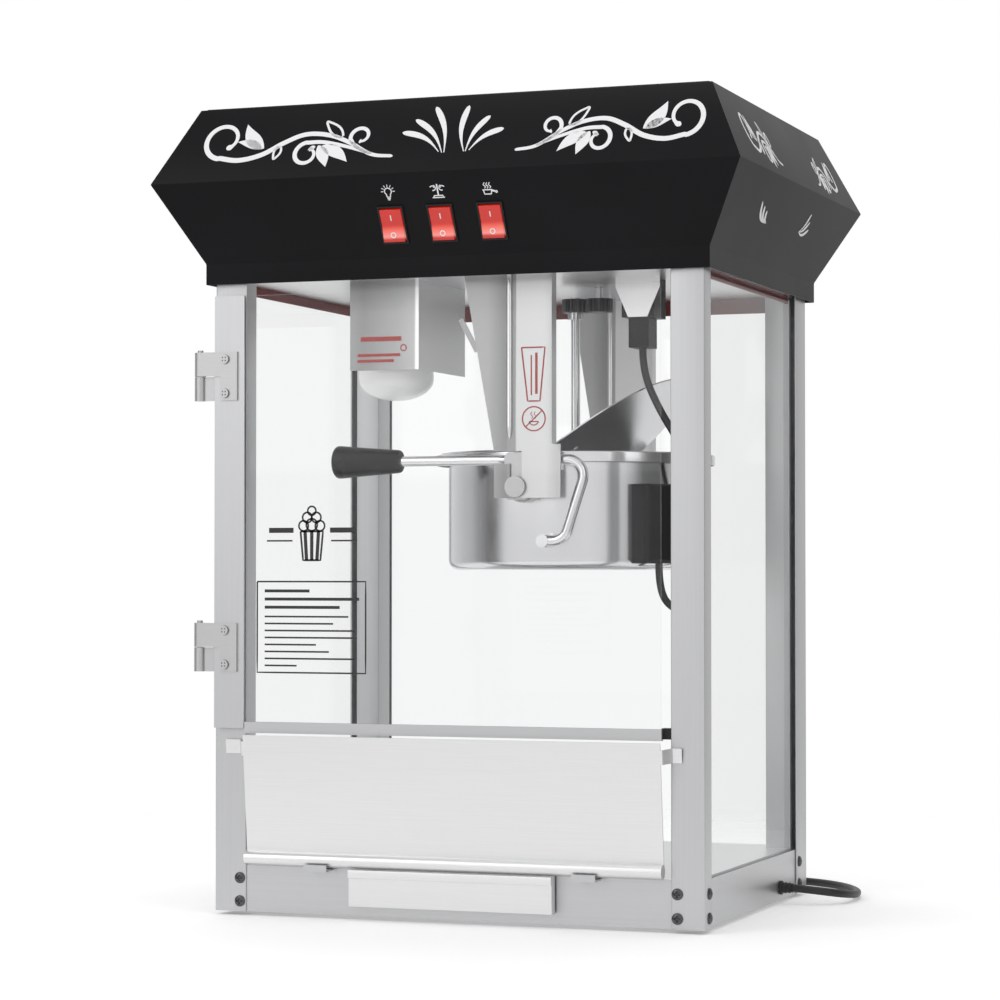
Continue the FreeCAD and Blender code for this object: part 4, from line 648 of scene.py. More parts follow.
class POPCORN_OT_scrolls(bpy.types.Operator):
    """White scrolls and petal sprays printed on the canopy's slopes"""

    bl_idname = "popcorn.scrolls"
    bl_label = "Canopy scrolls"

    def execute(self, context):
        thickness = context.scene.popcorn_sizes.ink
        white = ink("canopy_print", context.scene.popcorn_finishes.print_white)
        spray = [petal((5, 18), (-9.5, 64.5), 4.0, -0.08), petal((3, 18), (-26, 52.5), 3.9, -0.1),
                 petal((0, 19), (-36, 40), 4.0, -0.12)]
        spray_right = [petal((22.5, 18), (20.5, 64), 4.0, 0.1), petal((24, 18), (41, 52.5), 3.9, 0.1),
                       petal((27, 19), (55, 39), 4.0, 0.12)]
        long_side = (shifted(vine(), -41) + spray + spray_right + shifted(vine(), 68, -0.9))
        small = shifted(vine(), -52, 0.5, 0.95, -2) + shifted(vine(), 70, -0.47, 0.82, -2)
        fans = [petal((-58, 34), (-96 + 12 * k, 50 - 3 * k), 2.4, 0.15) for k in range(3)]
        fans += [petal((46, 38), (58 + 7 * k, 57 - 7 * k), 2.4, -0.15) for k in range(3)]
        for name, direction, half in (("front", (0, -1), HALF_DEPTH), ("rear", (0, 1), HALF_DEPTH),
                                      ("right", (1, 0), HALF_WIDTH), ("left", (-1, 0), HALF_WIDTH)):
            lower, upper = slope_pair(direction, half)
            wide = name in ("front", "rear")
            turn = 1 if name in ("front", "right") else -1
            shapes = long_side if wide else small
            finish_piece(printed(f"scrolls_{name}", shifted(shapes, 0, turn), upper, thickness), white,
                         "cabinet",
                         80)
            if not wide:
                finish_piece(printed(f"fans_{name}", shifted(fans, 0, turn), lower, thickness), white,
                             "cabinet",
                             80)
        return {"FINISHED"}


# ---------------------------------------------------------------- switches


def line(*points, width=0.42):
    """Pen line of one width through straight points."""
    path = np.vstack([np.linspace(a, b, 8)[:-1] for a,
                      b in zip(points, points[1:])] + [np.array([points[-1]], float)])
    return path, np.full(len(path), width)


def arc(centre, radius, start, end, width=0.42, squash=1.0):
    """Pen line round an arc, in degrees."""
    angle = np.radians(np.linspace(start, end, 40))
    path = np.array(centre, float) + radius * np.stack([np.cos(angle), squash * np.sin(angle)], axis=1)
    return path, np.full(40, width)


def lamp_icon():
    """Lamp with rays, drawn about the origin in millimetres."""
    rays = [line((3.9 * np.cos(a), 1.4 + 3.9 * np.sin(a)), (5.9 * np.cos(a), 1.4 + 5.9 * np.sin(a)),
                 width=0.3)
            for a in np.radians([0, 30, 60, 90, 120, 150, 180])]
    return rays + [arc((0, 1.4), 2.9, -55, 235), line((-1.7, -1), (-1.5, -3.2)), line((1.7, -1), (1.5, -3.2)),
                   line((-1.6, -3.4), (1.6, -3.4)), line((-1.4, -4.6), (1.4, -4.6)),
                   line((-0.9, -5.7), (0.9, -5.7))]


def stirrer_icon():
    """Stirrer blade on its shaft with two turning arrows."""
    arrows = []
    for side in (-1, 1):
        arrows += [arc((side * 3.9, 2.4), 2.4, 90 - side * 60, 90 + side * 190, squash=0.8),
                   line((side * 1.5, 3.6), (side * 3.0, 4.9)), line((side * 1.5, 3.6), (side * 3.2, 3.0))]
    return arrows + [line((0, 5.8), (0, -3.8), width=0.6),
                     line((-4.2, -5.4), (-3.6, -3.9), (3.6, -3.9), (4.2, -5.4)),
                     line((-5.2, -5.6), (5.2, -5.6))]


def heater_icon():
    """Hot pan with a handle and three wisps of steam."""
    wisps = [(smooth_path([(x, 0.2), (x + 0.9, 1.7), (x - 0.6, 3.4), (x + 0.5, 5.2)], 16), np.full(16, 0.34))
             for x in (-2.6, -0.4, 1.8)]
    return wisps + [line((-4.6, -1), (3.8, -1)), line((-3.9, -1), (-3.2, -4.6), (2.4, -4.6), (3.1, -1)),
                    line((3.4, -1.6), (6.4, -2.6), width=0.75), arc((6.9, -2.8), 0.7, 0, 360)]


def rocker_glow_painted_light(name, base):
    """Red rocker with an emission glow whose ramp by height also paints its light and shade: deep red at its
    top, a painted pink-white highlight low down.
    """
    finish = Finish(name, Roughness=0.22, Emission_Strength=0.55, Coat_Weight=0.5, Coat_Roughness=0.08)
    height = finish.add("ShaderNodeSeparateXYZ", None, [finish.place], output=2)
    up = ((height - 0.5733) / 0.028).clamp(0, 1)
    grain = finish.noise(60.0, 2.0)
    # Emission ramp by height: painted shade at the rocker's foot, a painted pink-white highlight above it, a
    # painted shade band near the middle, deep red at the top.
    glow = finish.ramped(up + grain * 0.06 - 0.03, (0.0, tint(base, 0.15)), (0.08, tint(base, 0.4)),
                         (0.16, (0.95, 0.5, 0.45)), (0.34, (0.85, 0.22, 0.16)), (0.47, tint(base, 0.55)),
                         (0.53, tint(base, 0.35)), (1.0, tint(base, 0.45)))
    finish.feed(Base_Color=finish.blend(grain, tint(base, 0.55), tint(base, 0.7)), Emission_Color=glow)
    return finish.material


class POPCORN_OT_switches(bpy.types.Operator):
    """Red rockers with a glow and painted light and shade, their marks, and the icons above them"""

    bl_idname = "popcorn.switches"
    bl_label = "Switches"

    def execute(self, context):
        finishes, thickness = context.scene.popcorn_finishes, context.scene.popcorn_sizes.ink
        red = rocker_glow_painted_light("rocker_red", finishes.rocker)
        white = ink("switch_print", finishes.print_white)
        lower = slope_pair((0, -1), HALF_DEPTH)[0]
        icons = {"lamp": lamp_icon(), "stirrer": stirrer_icon(), "heater": heater_icon()}
        for name, shapes in icons.items():
            node = f"rocker_{name}"
            low, high = corners(node)
            middle = (low[0] + high[0]) / 2 / MM
            finish_piece(printed(f"icon_{name}", shifted(shapes, middle + 0.8, 1.05, 1.05, 58), lower,
                                 thickness),
                         white, "cabinet", 80)
            merged(f"rocker_{name}_lens", node, red, fold=0.0008, shortest=0.008)
            rise = lower.up * RIDGE_UP + lower.out * RIDGE_OUT
            ridge = lower.foot + rise + lower.level * middle * MM
            marks = [(f"mark_on_{name}", line((0, 4.6), (0, 9.4), width=0.42), TOP_TILT),
                     (f"mark_off_{name}", arc((0, -8.2), 2.1, 0, 360, 0.4), LOW_TILT)]
            for label, (path, width), tilt in marks:
                head = ridge + lower.up * math.cos(tilt) + lower.out * math.sin(tilt)
                block = [ribbon_points(path * MM, width * MM, MARK_THICKNESS)]
                finish_piece(strips(label, block, Slope(ridge, head, lower.level)), white,
                             f"{name}_switch", 80)
        return {"FINISHED"}


# ---------------------------------------------------------------- cabinet


class POPCORN_OT_finishes(bpy.types.Operator):
    """Procedural finishes on the frame, the sheets, the glass and the fittings"""

    bl_idname = "popcorn.finishes"
    bl_label = "Finishes"

    def execute(self, context):
        tones = context.scene.popcorn_finishes
        steel_x = brushed("steel_brushed_level", tones.steel, (14, 1800, 1800))
        steel_z = brushed("steel_brushed_upright", tones.steel, (1800, 1800, 14))
        anodised_z = brushed("aluminium_upright", tones.aluminium, (700, 700, 5), 0.34, 0.00001, 0.9, 0.05)
        anodised_x = brushed("aluminium_level", tones.aluminium, (5, 700, 700), 0.34, 0.00001, 0.9, 0.05)
        anodised_y = brushed("aluminium_cross", tones.aluminium, (700, 5, 700), 0.34, 0.00001, 0.9, 0.05)
        bright = polished("bright_plate", tones.polished, 0.16)
        leaf_steel = brushed("hinge_steel", tint(tones.steel, 0.68), (40, 1500, 1500), 0.36, 0.00001, 0.85,
                             0.08)
        black = powder_coat("powder_black", tones.powder)
        plastic = moulded("plastic_black", tones.plastic, 0.42, Specular_IOR_Level=0.3)
        rubber = moulded("rubber_black", (0.02, 0.02, 0.021), 0.7, 900.0)
        pane = clear_sheet("pane_clear", (0.985, 0.986, 0.986))
        glass = clear_sheet("glass_clear", (0.975, 0.98, 0.979), 0.015)
        gear = brushed("gear_steel", (0.13, 0.13, 0.135), (700, 700, 20), 0.42, 0.00001, 0.9, 0.15)
        iron = moulded("cast_iron", (0.06, 0.058, 0.055), 0.75, 300.0, 0.0002)
        ceramic = moulded("ceramic_white", (0.75, 0.74, 0.7), 0.35, 200.0)
        motor = brushed("motor_grey", (0.35, 0.35, 0.36), (60, 60, 60), 0.5, 0.00002, 0.6, 0.08)
        # Painted light and shade: the hanger is darker in a band round its rib and lighter to the right; the
        # guard darkens to the left and has a sharp painted highlight to the right.
        hanger = painted_light_bands("hanger_steel", tones.steel, (-0.005, 0.62), (0.020, 0.6), (0.033, 0.42),
                        (0.044, 0.42),
                        (0.0445, 0.82), (0.070, 0.86), (0.081, 0.7))
        guard = painted_light_bands("guard_steel", tones.steel, (-0.112, 0.42), (-0.100, 0.36), (-0.068, 0.5),
                       (-0.052, 0.62),
                       (-0.0505, 1.2), (-0.0475, 1.2))
        dress(hanger, "hanger_front", "hanger_rear")
        dress(guard, "lamp_guard")
        dress(steel_z, "drawer_guides", "drawer_tray", "outlet_cover")
        dress(steel_x, "deck_plate", "base_pan", "ceiling_plate")
        dress(anodised_z, "door_hinge_strip")
        dress(anodised_x, "sill_rear", "door_bottom_rail")
        dress(anodised_y, "side_sills")
        dress(black, "canopy_top_cover")
        dress(plastic, "outlet_box", "door_magnet", "switch_bezels")
        dress(glass, "window_left", "window_right", "window_rear")
        dress(pane, "door_pane")
        dress(iron, "kettle_heater")
        dress(motor, "stirrer_motor")
        merged("canopy_folded", "canopy_shell", black, context.scene.popcorn_sizes.fold, 0.1)
        for node, finish in (("post_hinge_leaves", leaf_steel), ("door_hinge_leaves", leaf_steel),
                             ("stirrer_gear", gear),
                             ("motor_gear", gear), ("motor_shaft", bright), ("stirrer_shaft", bright),
                             ("trunnions", leaf_steel), ("rubber_feet", rubber), ("lamp_holder", ceramic),
                             ("lead_plug", plastic), ("terminal_box", plastic), ("lid_bar", bright),
                             ("sill_front", anodised_x)):
            merged(f"{node}_smooth", node, finish)
        return {"FINISHED"}


class POPCORN_OT_posts(bpy.types.Operator):
    """Box-section corner posts with rounded corners"""

    bl_idname = "popcorn.posts"
    bl_label = "Posts"

    def execute(self, context):
        tone = context.scene.popcorn_finishes.aluminium
        anodised = brushed("post_aluminium", tone, (700, 700, 5), 0.36, 0.00001, 0.85, 0.05)
        for node in ("post_front_left", "post_front_right", "post_rear_left", "post_rear_right"):
            merged(f"{node}_tube", node, anodised, 0.0012, 0.2)
        return {"FINISHED"}


class POPCORN_OT_front(bpy.types.Operator):
    """Serving panel and drawer front in brushed sheet"""

    bl_idname = "popcorn.front"
    bl_label = "Panel and drawer"

    def execute(self, context):
        sheet = brushed("panel_brushed", context.scene.popcorn_finishes.steel, (14, 2600, 2600), 0.34,
                        0.000006, 0.9, 0.06)
        merged("serving_panel_sheet", "serving_panel", sheet)
        merged("drawer_front_sheet", "drawer_front", sheet, 0.0004, 0.02)
        return {"FINISHED"}


def cross_screw(centre, out, radius=0.0048, height=0.0024):
    """Pan head with a cross recess: a dome turned about its axis, pressed in along two crossing slots."""
    out = np.array(out, float)
    side = np.array([0, 0, 1.0])
    third = np.cross(out, side)
    rings, turn = np.linspace(0, 1, 15), np.linspace(0, 2 * np.pi, 48, endpoint=False)
    r, a = np.meshgrid(rings, turn, indexing="ij")
    dome = np.sqrt(np.clip(1 - (r * 0.93) ** 2, 0, 1)) * height
    x, y = r * radius * np.cos(a), r * radius * np.sin(a)
    slot_width, slot_reach, slot_depth = 0.0007, 0.0027, 0.0011
    slot = np.maximum(np.exp(-(x / slot_width) ** 4) * (np.abs(y) < slot_reach),
                      np.exp(-(y / slot_width) ** 4) * (np.abs(x) < slot_reach))
    dome = dome - slot * slot_depth
    points = np.array(centre) + x[..., None] * third + y[..., None] * side + dome[..., None] * out
    base = np.array(centre) + x[-1][:, None] * third + y[-1][:, None] * side - 0.0002 * out
    grid = np.vstack([points, base[None]])
    rows, sides = len(rings) + 1, len(turn)
    faces = grid_faces(rows, sides, False, True).tolist() + [[(rows - 1) * sides + k for k in range(sides)]]
    return grid.reshape(-1, 3), faces


class POPCORN_OT_screws(bpy.types.Operator):
    """Cross-recess screws in the posts and the hinge leaves"""

    bl_idname = "popcorn.screws"
    bl_label = "Screws"

    def execute(self, context):
        bright = polished("screw_plate", tint(context.scene.popcorn_finishes.polished, 0.14), 0.25)
        foot, sill = 0.003, 0.040
        heights = (foot + sill * 0.22, foot + sill * 0.72)
        heads = []
        for sx in (-1, 1):
            for sy, depth in ((-1, 0.020), (1, 0.035)):
                for z in heights:
                    heads.append(((sx * (HALF_WIDTH - 0.029 + 0.0055), sy * HALF_DEPTH, z), (0, sy, 0)))
                    heads.append(((sx * HALF_WIDTH, sy * (HALF_DEPTH - depth + 0.0078), z), (sx, 0, 0)))
        self.make("screws_frame", heads, bright, "cabinet", "frame_screws", 0.0048)
        face = corners("door_hinge_leaves")[0][1] + 0.0020
        leaves = [((-0.2085, face, foot + middle + side * 0.01475), (0, -1, 0))
                  for middle in (0.4615, 0.2272) for side in (-1, 1)]
        self.make("screws_hinges", leaves, bright, "door", None, 0.0041)
        return {"FINISHED"}

    def make(self, name, heads, material, body, node, radius):
        points, faces, start = [], [], 0
        for centre, out in heads:
            grid, quads = cross_screw(centre, out, radius)
            points.append(grid)
            faces += [[index + start for index in quad] for quad in quads]
            start += len(grid)
        piece = finish_piece(make_mesh(name, np.vstack(points), faces), material, body, 40)
        if node:
            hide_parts(node)


# ---------------------------------------------------------------- kettle


class POPCORN_OT_kettle(bpy.types.Operator):
    """Turned kettle shell, pan, rim and the two lid flaps"""

    bl_idname = "popcorn.kettle"
    bl_label = "Kettle"

    def execute(self, context):
        steel = polished("kettle_polished", context.scene.popcorn_finishes.polished, 0.09)
        inside = polished("pan_polished", tint(context.scene.popcorn_finishes.polished, 0.9), 0.16)
        turn = np.linspace(0, np.pi / 2, 9)
        low, high = -0.0705, 0.0295
        r, wall, corner = 0.113, 0.0012, 0.009
        outside = [(r - corner + corner * np.sin(t), low + corner - corner * np.cos(t)) for t in turn]
        hollow = [(x - wall * np.sin(t), z + wall * np.cos(t)) for (x, z), t in zip(outside, turn)]
        profile = [(0, low)] + outside + [(r, high), (r - wall, high)] + hollow[::-1] + [(0, low + wall)]
        self.place("kettle_shell_turned", "kettle_shell", profile, steel)
        pan = r - wall - 0.004
        floor = low + 0.026
        bowl = [(pan - 0.012 + 0.012 * np.sin(t), floor + 0.012 - 0.012 * np.cos(t)) for t in turn]
        lining = [(x - wall * np.sin(t), z + wall * np.cos(t)) for (x, z), t in zip(bowl, turn)]
        profile = [(0.006, floor)] + bowl + [(pan, high - wall), (r - wall, high - wall), (r - wall, high)]
        profile += [(pan - wall, high)] + lining[::-1] + [(0.009, floor + wall), (0.0085, floor + 0.009),
                                                           (0.006, floor + 0.009)]
        self.place("kettle_pan_turned", "kettle_pan", profile, inside)
        edge, sheet, top = r + 0.011, 0.0015, 0.031
        lip = [(edge - sheet + sheet * np.sin(t), top - sheet + sheet * np.cos(t)) for t in turn]
        profile = [(r - 0.003, top - sheet), (edge - sheet - 0.001, top - sheet),
                   (edge - sheet, top - sheet - 0.001),
                   (edge - sheet, top - 0.009), (edge, top - 0.009)] + lip[::-1] + [(r - 0.003, top)]
        self.place("kettle_rim_turned", "kettle_rim", profile, steel)
        for node in ("lid_left", "lid_right"):
            merged(f"{node}_smooth", node, brushed(f"{node}_steel", context.scene.popcorn_finishes.polished,
                                                   (400, 12, 400), 0.2, 0.00001, 1.0, 0.08), angle=30)
        return {"FINISHED"}

    def place(self, name, node, profile, material):
        """Turn a profile about the kettle's axis and let it stand for its node."""
        piece = finish_piece(turned(name, profile, KETTLE), material, "kettle", 40)
        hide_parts(node)


class POPCORN_OT_handle(bpy.types.Operator):
    """Bent steel handle rod and its tapered grip"""

    bl_idname = "popcorn.handle"
    bl_label = "Handle"

    def execute(self, context):
        tones = context.scene.popcorn_finishes
        merged("handle_rod_smooth", "handle_rod", polished("rod_steel", tones.polished, 0.12))
        low, high = corners("handle_grip")
        y, z = (low[1] + high[1]) / 2, (low[2] + high[2]) / 2
        length = high[0] - low[0]
        t = np.linspace(0, 1, 12)
        nose = np.stack([0.0045 * (1 - np.cos(t * np.pi / 2)), 0.0142 * np.sin(t * np.pi / 2) ** 0.6], axis=1)
        along = np.linspace(0.007, length - 0.003, 10)
        body = np.stack([along, 0.0142 + (0.0101 - 0.0142) * ((along - 0.007) / (length - 0.010)) ** 0.9],
                        axis=1)
        neck = [(length - 0.0012, 0.0098), (length - 0.0002, 0.009), (length, 0.0078), (length, 0.0)]
        profile = np.vstack([nose, body, neck])
        grip = turned_level("handle_grip_turned", profile, (low[0], y, z), 72)
        black = moulded("grip_black", tint(tones.plastic, 0.6), 0.26, 900.0, 0.00002, Specular_IOR_Level=0.3)
        finish_piece(grip, black, "kettle", 40)
        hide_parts("handle_grip")
        return {"FINISHED"}


class POPCORN_OT_lamp(bpy.types.Operator):
    """Frosted reflector lamp: neck, cone and shallow dome turned about its axis"""

    bl_idname = "popcorn.lamp"
    bl_label = "Lamp"

    def execute(self, context):
        low, high = corners("lamp_bulb")
        radius, length = (high[0] - low[0]) / 2, high[2] - low[2]
        t = np.linspace(0, np.pi / 2, 14)
        dome = np.stack([radius * np.sin(t), 0.019 * (1 - np.cos(t))], axis=1)
        rise = np.array([(radius, 0.026), (radius * 0.985, 0.034), (radius * 0.93, 0.046),
                         (radius * 0.8, 0.058),
                         (radius * 0.62, 0.069), (radius * 0.47, 0.079), (radius * 0.42, 0.088),
                         (radius * 0.41, length),
                         (0, length)])
        shape = np.vstack([dome, smooth_path(rise[:-1], 24), rise[-1:]])
        bulb = turned("lamp_bulb_blown", shape, ((low[0] + high[0]) / 2, (low[1] + high[1]) / 2, low[2]), 96)
        finish_piece(bulb, cloudy_glass("lamp_frosted", context.scene.popcorn_finishes.lamp, 0.12), "cabinet",
                     50)
        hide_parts("lamp_bulb")
        return {"FINISHED"}


# ---------------------------------------------------------------- labels


def upright(x, y):
    """Upright place that faces the front: u to the right, w straight up, then height off the face."""
    axes = np.array([(1, 0, 0), (0, 0, 1), (0, -1, 0)], float)
    return lambda points: np.array([x, y, 0.0]) + points @ axes


def bars(x, widths, top, pitch, width=0.8):
    """Stack of plain bars, as stand-ins for lines of print."""
    return [line((x, top - i * pitch), (x + length, top - i * pitch), width=width) for i,
            length in enumerate(widths)]


def tub_icon():
    """Striped tub of corn: a tapered tub with stripes and round puffs over its rim."""
    tub = [line((-11, 0), (-8.5, -26), (8.5, -26), (11, 0), (-11, 0), width=0.9)]
    stripes = [line((x, 0), (x * 0.77, -26), width=1.6) for x in (-6.6, 0, 6.6)]
    puffs = [arc((x, z), r, 0, 360, 0.8) for x, z, r in
             ((-8, 5, 4.6), (0, 6, 5.4), (8, 5, 4.6), (-4.4, 12.5, 4.6), (4.4, 12.5, 4.6), (0, 18.5, 4))]
    return tub + stripes + puffs


class POPCORN_OT_labels(bpy.types.Operator):
    """Plain printed panels: hot-surface label, ring mark, lamp label and the door's framed notes"""

    bl_idname = "popcorn.labels"
    bl_label = "Labels"

    def execute(self, context):
        tones = context.scene.popcorn_finishes
        red, dark = ink("label_red", tones.print_red), ink("door_print", tones.print_black)
        plate = corners("hanger_front")[0][1] + 0.0105
        front = upright(0.0078, plate)
        hot = [line((41.5, 485.5), (62.5, 485.5), (58, 440), (47, 440), (41.5, 485.5), width=0.65)]
        hot += [line((54.8, 481), (54.8, 446), width=1.1), line((50.3, 479), (50.3, 445), width=0.6)]
        hot += [arc((52.5, 425), 10.2, 0, 360, 0.6), line((45.4, 418.4), (59.6, 431.6), width=0.5)]
        hot += [arc((52.5, 424), 4.4, 200, 340, 0.5), line((48.2, 422.6), (56.8, 422.6), width=0.5)]
        hot += [(smooth_path([(x, 425), (x + 1, 427), (x - 0.8, 429), (x + 0.4, 431)], 14), np.full(14, 0.35))
                for x in (50.5, 53.5)]
        self.make("hanger_label", hot, front, red, "cabinet", "sheet_steel")
        guard = upright(0.0, corners("lamp_guard")[0][1])
        note = bars(-102, (38,), 497, 7, 2.0) + bars(-105, (40, 34), 483, 5,
                                                     1.3) + [arc((-62, 489), 2.6, 0, 360, 0.5)]
        self.make("lamp_label", note, guard, red, "cabinet", "sheet_steel")
        door = upright(0.0, corners("door_pane")[0][1])
        box = [line((-179, 287), (-78, 287), (-78, 209), (-179, 209), (-179, 287), width=0.7)]
        text = bars(-172, (42, 88, 70), 279, 7, 1.3)
        text += bars(-172, (78, 64, 84, 86, 48, 60, 84, 30), 257, 6, 0.75)
        tub = shifted(tub_icon(), -128, 0.95, 0.95, 330)
        ribbon = [line((-168, 331), (-145, 331), width=2.2), line((-111, 331), (-88, 331), width=2.2),
                  line((-170, 322), (-146, 322), width=0.7), line((-110, 322), (-86, 322), width=0.7)]
        self.make("door_notes", box + text + tub + ribbon, door, dark, "door", "door_acrylic")
        return {"FINISHED"}

    def make(self, name, shapes, place, material, body, slot):
        blocks = [ribbon_points(path * MM, width * MM, 0.00015) for path, width in shapes]
        finish_piece(strips(name, blocks, place), material, body, 80)


class POPCORN_OT_fittings(bpy.types.Operator):
    """Pressed rib on each hanger, the guard's strap and the red seal under the canopy"""

    bl_idname = "popcorn.fittings"
    bl_label = "Ribs, strap and seal"

    def execute(self, context):
        tones = context.scene.popcorn_finishes
        bright = brushed("rib_steel", tones.steel, (900, 900, 9), 0.2, 0.00001, 1.0, 0.06)
        x, inset, foot, radius = 0.0385, 0.0100, 0.4085, 0.0028
        for name, node, sign in (("front", "hanger_front", -1), ("rear", "hanger_rear", 1)):
            low, high = corners(node)
            y = low[1] + inset if sign < 0 else high[1] - inset
            heights = np.linspace(foot, UNDER_CEILING, 40)
            ends = np.clip((heights - foot) / 0.006, 0.05, 1) ** 0.5
            path = np.stack([np.full(40, x), np.full(40, y), heights], axis=1)
            finish_piece(tube(f"hanger_rib_{name}", path, radius * ends, 24), bright,
                         "cabinet", 60)
        strap = strips("guard_strap",
                       [ribbon_points(np.array([(-0.0085, 0.512), (-0.001, 0.498), (0.0065, 0.484)]),
                                                     np.full(3, 0.0022), 0.0012)],
                       upright(0.0, -0.126))
        finish_piece(strap, brushed("strap_steel", tint(tones.steel, 0.45), (30, 1500, 1500)), "cabinet",
                     60)
        seal = moulded("seal_red", (0.16, 0.02, 0.02), 0.5, 700.0)
        for name, start, end, foot, plane, low, high in (
                ("rear", -0.196, 0.196, 0.5345, "xz", 0.1585, 0.1608),
                ("left", -0.130, 0.128, 0.5395, "yz", -0.2138, -0.2118),
                ("right", -0.130, 0.128, 0.5395, "yz", 0.2118, 0.2138)):
            outline = [(start, foot), (end, foot), (end, UNDER_CEILING), (start, UNDER_CEILING)]
            finish_piece(slab(f"seal_{name}", outline, low, high, plane, 0, 0.0003), seal,
                         "cabinet")
        return {"FINISHED"}


# ---------------------------------------------------------------- leads


def spline(name, points, radius=0.0, order=3):
    """Smooth curve with the points as its control points; order and end points are set after them."""
    data = bpy.data.curves.new(name, "CURVE")
    data.dimensions = "3D"
    data.resolution_u = 12
    data.bevel_depth = radius
    data.bevel_resolution = 6
    data.use_fill_caps = True
    course = data.splines.new("NURBS")
    course.points.add(len(points) - 1)
    for point, place in zip(course.points, points):
        point.co = (*place, 1)
    course.order_u = order
    course.use_endpoint_u = True
    obj = bpy.data.objects.new(name, data)
    bpy.context.scene.collection.objects.link(obj)
    return obj


def course_of(points):
    """Places along a route's smooth line, read from its spline."""
    curve = spline("course", points)
    mesh = bpy.data.meshes.new_from_object(curve)
    path = np.array([vertex.co for vertex in mesh.vertices])
    bpy.data.objects.remove(curve)
    bpy.data.meshes.remove(mesh)
    return path


class POPCORN_OT_kettle_lead(bpy.types.Operator):
    """Flexible lead from the outlet under the canopy to the kettle's terminals"""

    bl_idname = "popcorn.kettle_lead"
    bl_label = "Kettle lead"

    def execute(self, context):
        x, y, z = 0.134, -0.060, 0.488
        route = [(x, y, z), (x, y, z - 0.020), (x + 0.014, y, z - 0.052), (x + 0.030, y + 0.007, z - 0.080),
                 (x + 0.040, y + 0.017, z - 0.112), (x + 0.046, y + 0.039, z - 0.155),
                 (x + 0.046, y + 0.039, 0.27858), (0.17136, -0.034563, 0.2625), (0.15914, -0.053734, 0.2625),
                 (0.15051, -0.067298, 0.27858), (0.15051, -0.067298, 0.3025)]
        path = course_of(route)
        lead = tube("kettle_lead_flex", path, 0.0032, 20)
        lead.data.materials.append(moulded("lead_grey", (0.035, 0.035, 0.037), 0.5, 1200.0))
        shade(lead, 60)
        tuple(route[0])
        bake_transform(lead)
        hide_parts("kettle_lead")
        return {"FINISHED"}


class POPCORN_OT_mains(bpy.types.Operator):
    """Mains cord from the ribbed strain relief to its coil and plug behind the cabinet"""

    bl_idname = "popcorn.mains"
    bl_label = "Mains cord"

    def execute(self, context):
        sizes, tones = context.scene.popcorn_sizes, context.scene.popcorn_finishes
        low, high = corners("strain_relief")
        x, y, z = high[0], (low[1] + high[1]) / 2, (low[2] + high[2]) / 2
        floor = 0.0037
        route = [(x, y, z), (x + 0.025, y + 0.001, z - 0.002), (x + 0.044, y + 0.020, z - 0.006),
                 (x + 0.046, y + 0.056, floor + 0.001), (x + 0.036, y + 0.094, floor),
                 (x + 0.015, y + 0.128, floor), (x - 0.015, y + 0.153, floor), (x - 0.052, y + 0.168, floor)]
        centre, per_turn, turns, start_angle = np.array([0.096, 0.232]), 16, 5.76, math.radians(62.5)
        pitch, outer, inner = 0.0072, 0.0452, 0.0380
        for step in range(int(turns * per_turn)):
            turn = step / per_turn
            angle = start_angle + 2 * math.pi * turn
            layer, place = divmod(turn, 2)
            radius = outer - pitch * place if int(layer) % 2 == 0 else inner + pitch * place
            height = floor + pitch * min(layer + 0.5 * max(0, place - 1.6), 1.9)
            route.append((centre[0] + radius * math.cos(angle), centre[1] + radius * math.sin(angle), height))
        cord = spline("mains_cord", route, sizes.cord / 2)
        cord.data.materials.append(moulded("cord_black", (0.012, 0.012, 0.013), 0.45, 1500.0))
        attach(cord, "cabinet")
        self.relief(low, high, tones)
        plug = merged("mains_plug_smooth", "power_plug", moulded("plug_black", tones.plastic, 0.4))
        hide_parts("power_cord", "power_cord_coil")
        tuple(route[0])
        return {"FINISHED"}

    def relief(self, low, high, tones):
        """Strain relief: flange and ribbed taper turned about the cord's line."""
        y, z = (low[1] + high[1]) / 2, (low[2] + high[2]) / 2
        start, face, end = low[0], 0.2185, high[0]
        s = np.linspace(face + 0.0026, end, 40)
        t = (s - s[0]) / (s[-1] - s[0])
        ribs = 0.0050 - 0.0006 * t - 0.0005 * (np.sin(t * np.pi * 5) > 0.2)
        profile = [(start, 0), (start, 0.0048), (face, 0.0048), (face, 0.0059), (face + 0.0004, 0.0062),
                   (face + 0.0019, 0.0062), (face + 0.0025, 0.0056)]
        profile = np.vstack([profile, np.stack([s, ribs], axis=1), [(end, 0)]])
        piece = turned_level("strain_relief_ribbed", profile, (0.0, y, z), 48)
        finish_piece(piece, moulded("relief_black", tones.plastic, 0.5), "cabinet", 40)
        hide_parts("strain_relief")


# ---------------------------------------------------------------- studio


def softbox(name, place, aim, width, height, power, tone=(1, 1, 1)):
    """Area lamp of a given size that faces a point."""
    data = bpy.data.lights.new(name, "AREA")
    data.shape, data.size, data.size_y, data.energy, data.color = "RECTANGLE", width, height, power, tone
    lamp = bpy.data.objects.new(name, data)
    lamp.location = place
    lamp.rotation_euler = (Vector(aim) - Vector(place)).to_track_quat("-Z", "Y").to_euler()
    bpy.context.scene.collection.objects.link(lamp)
    return lamp


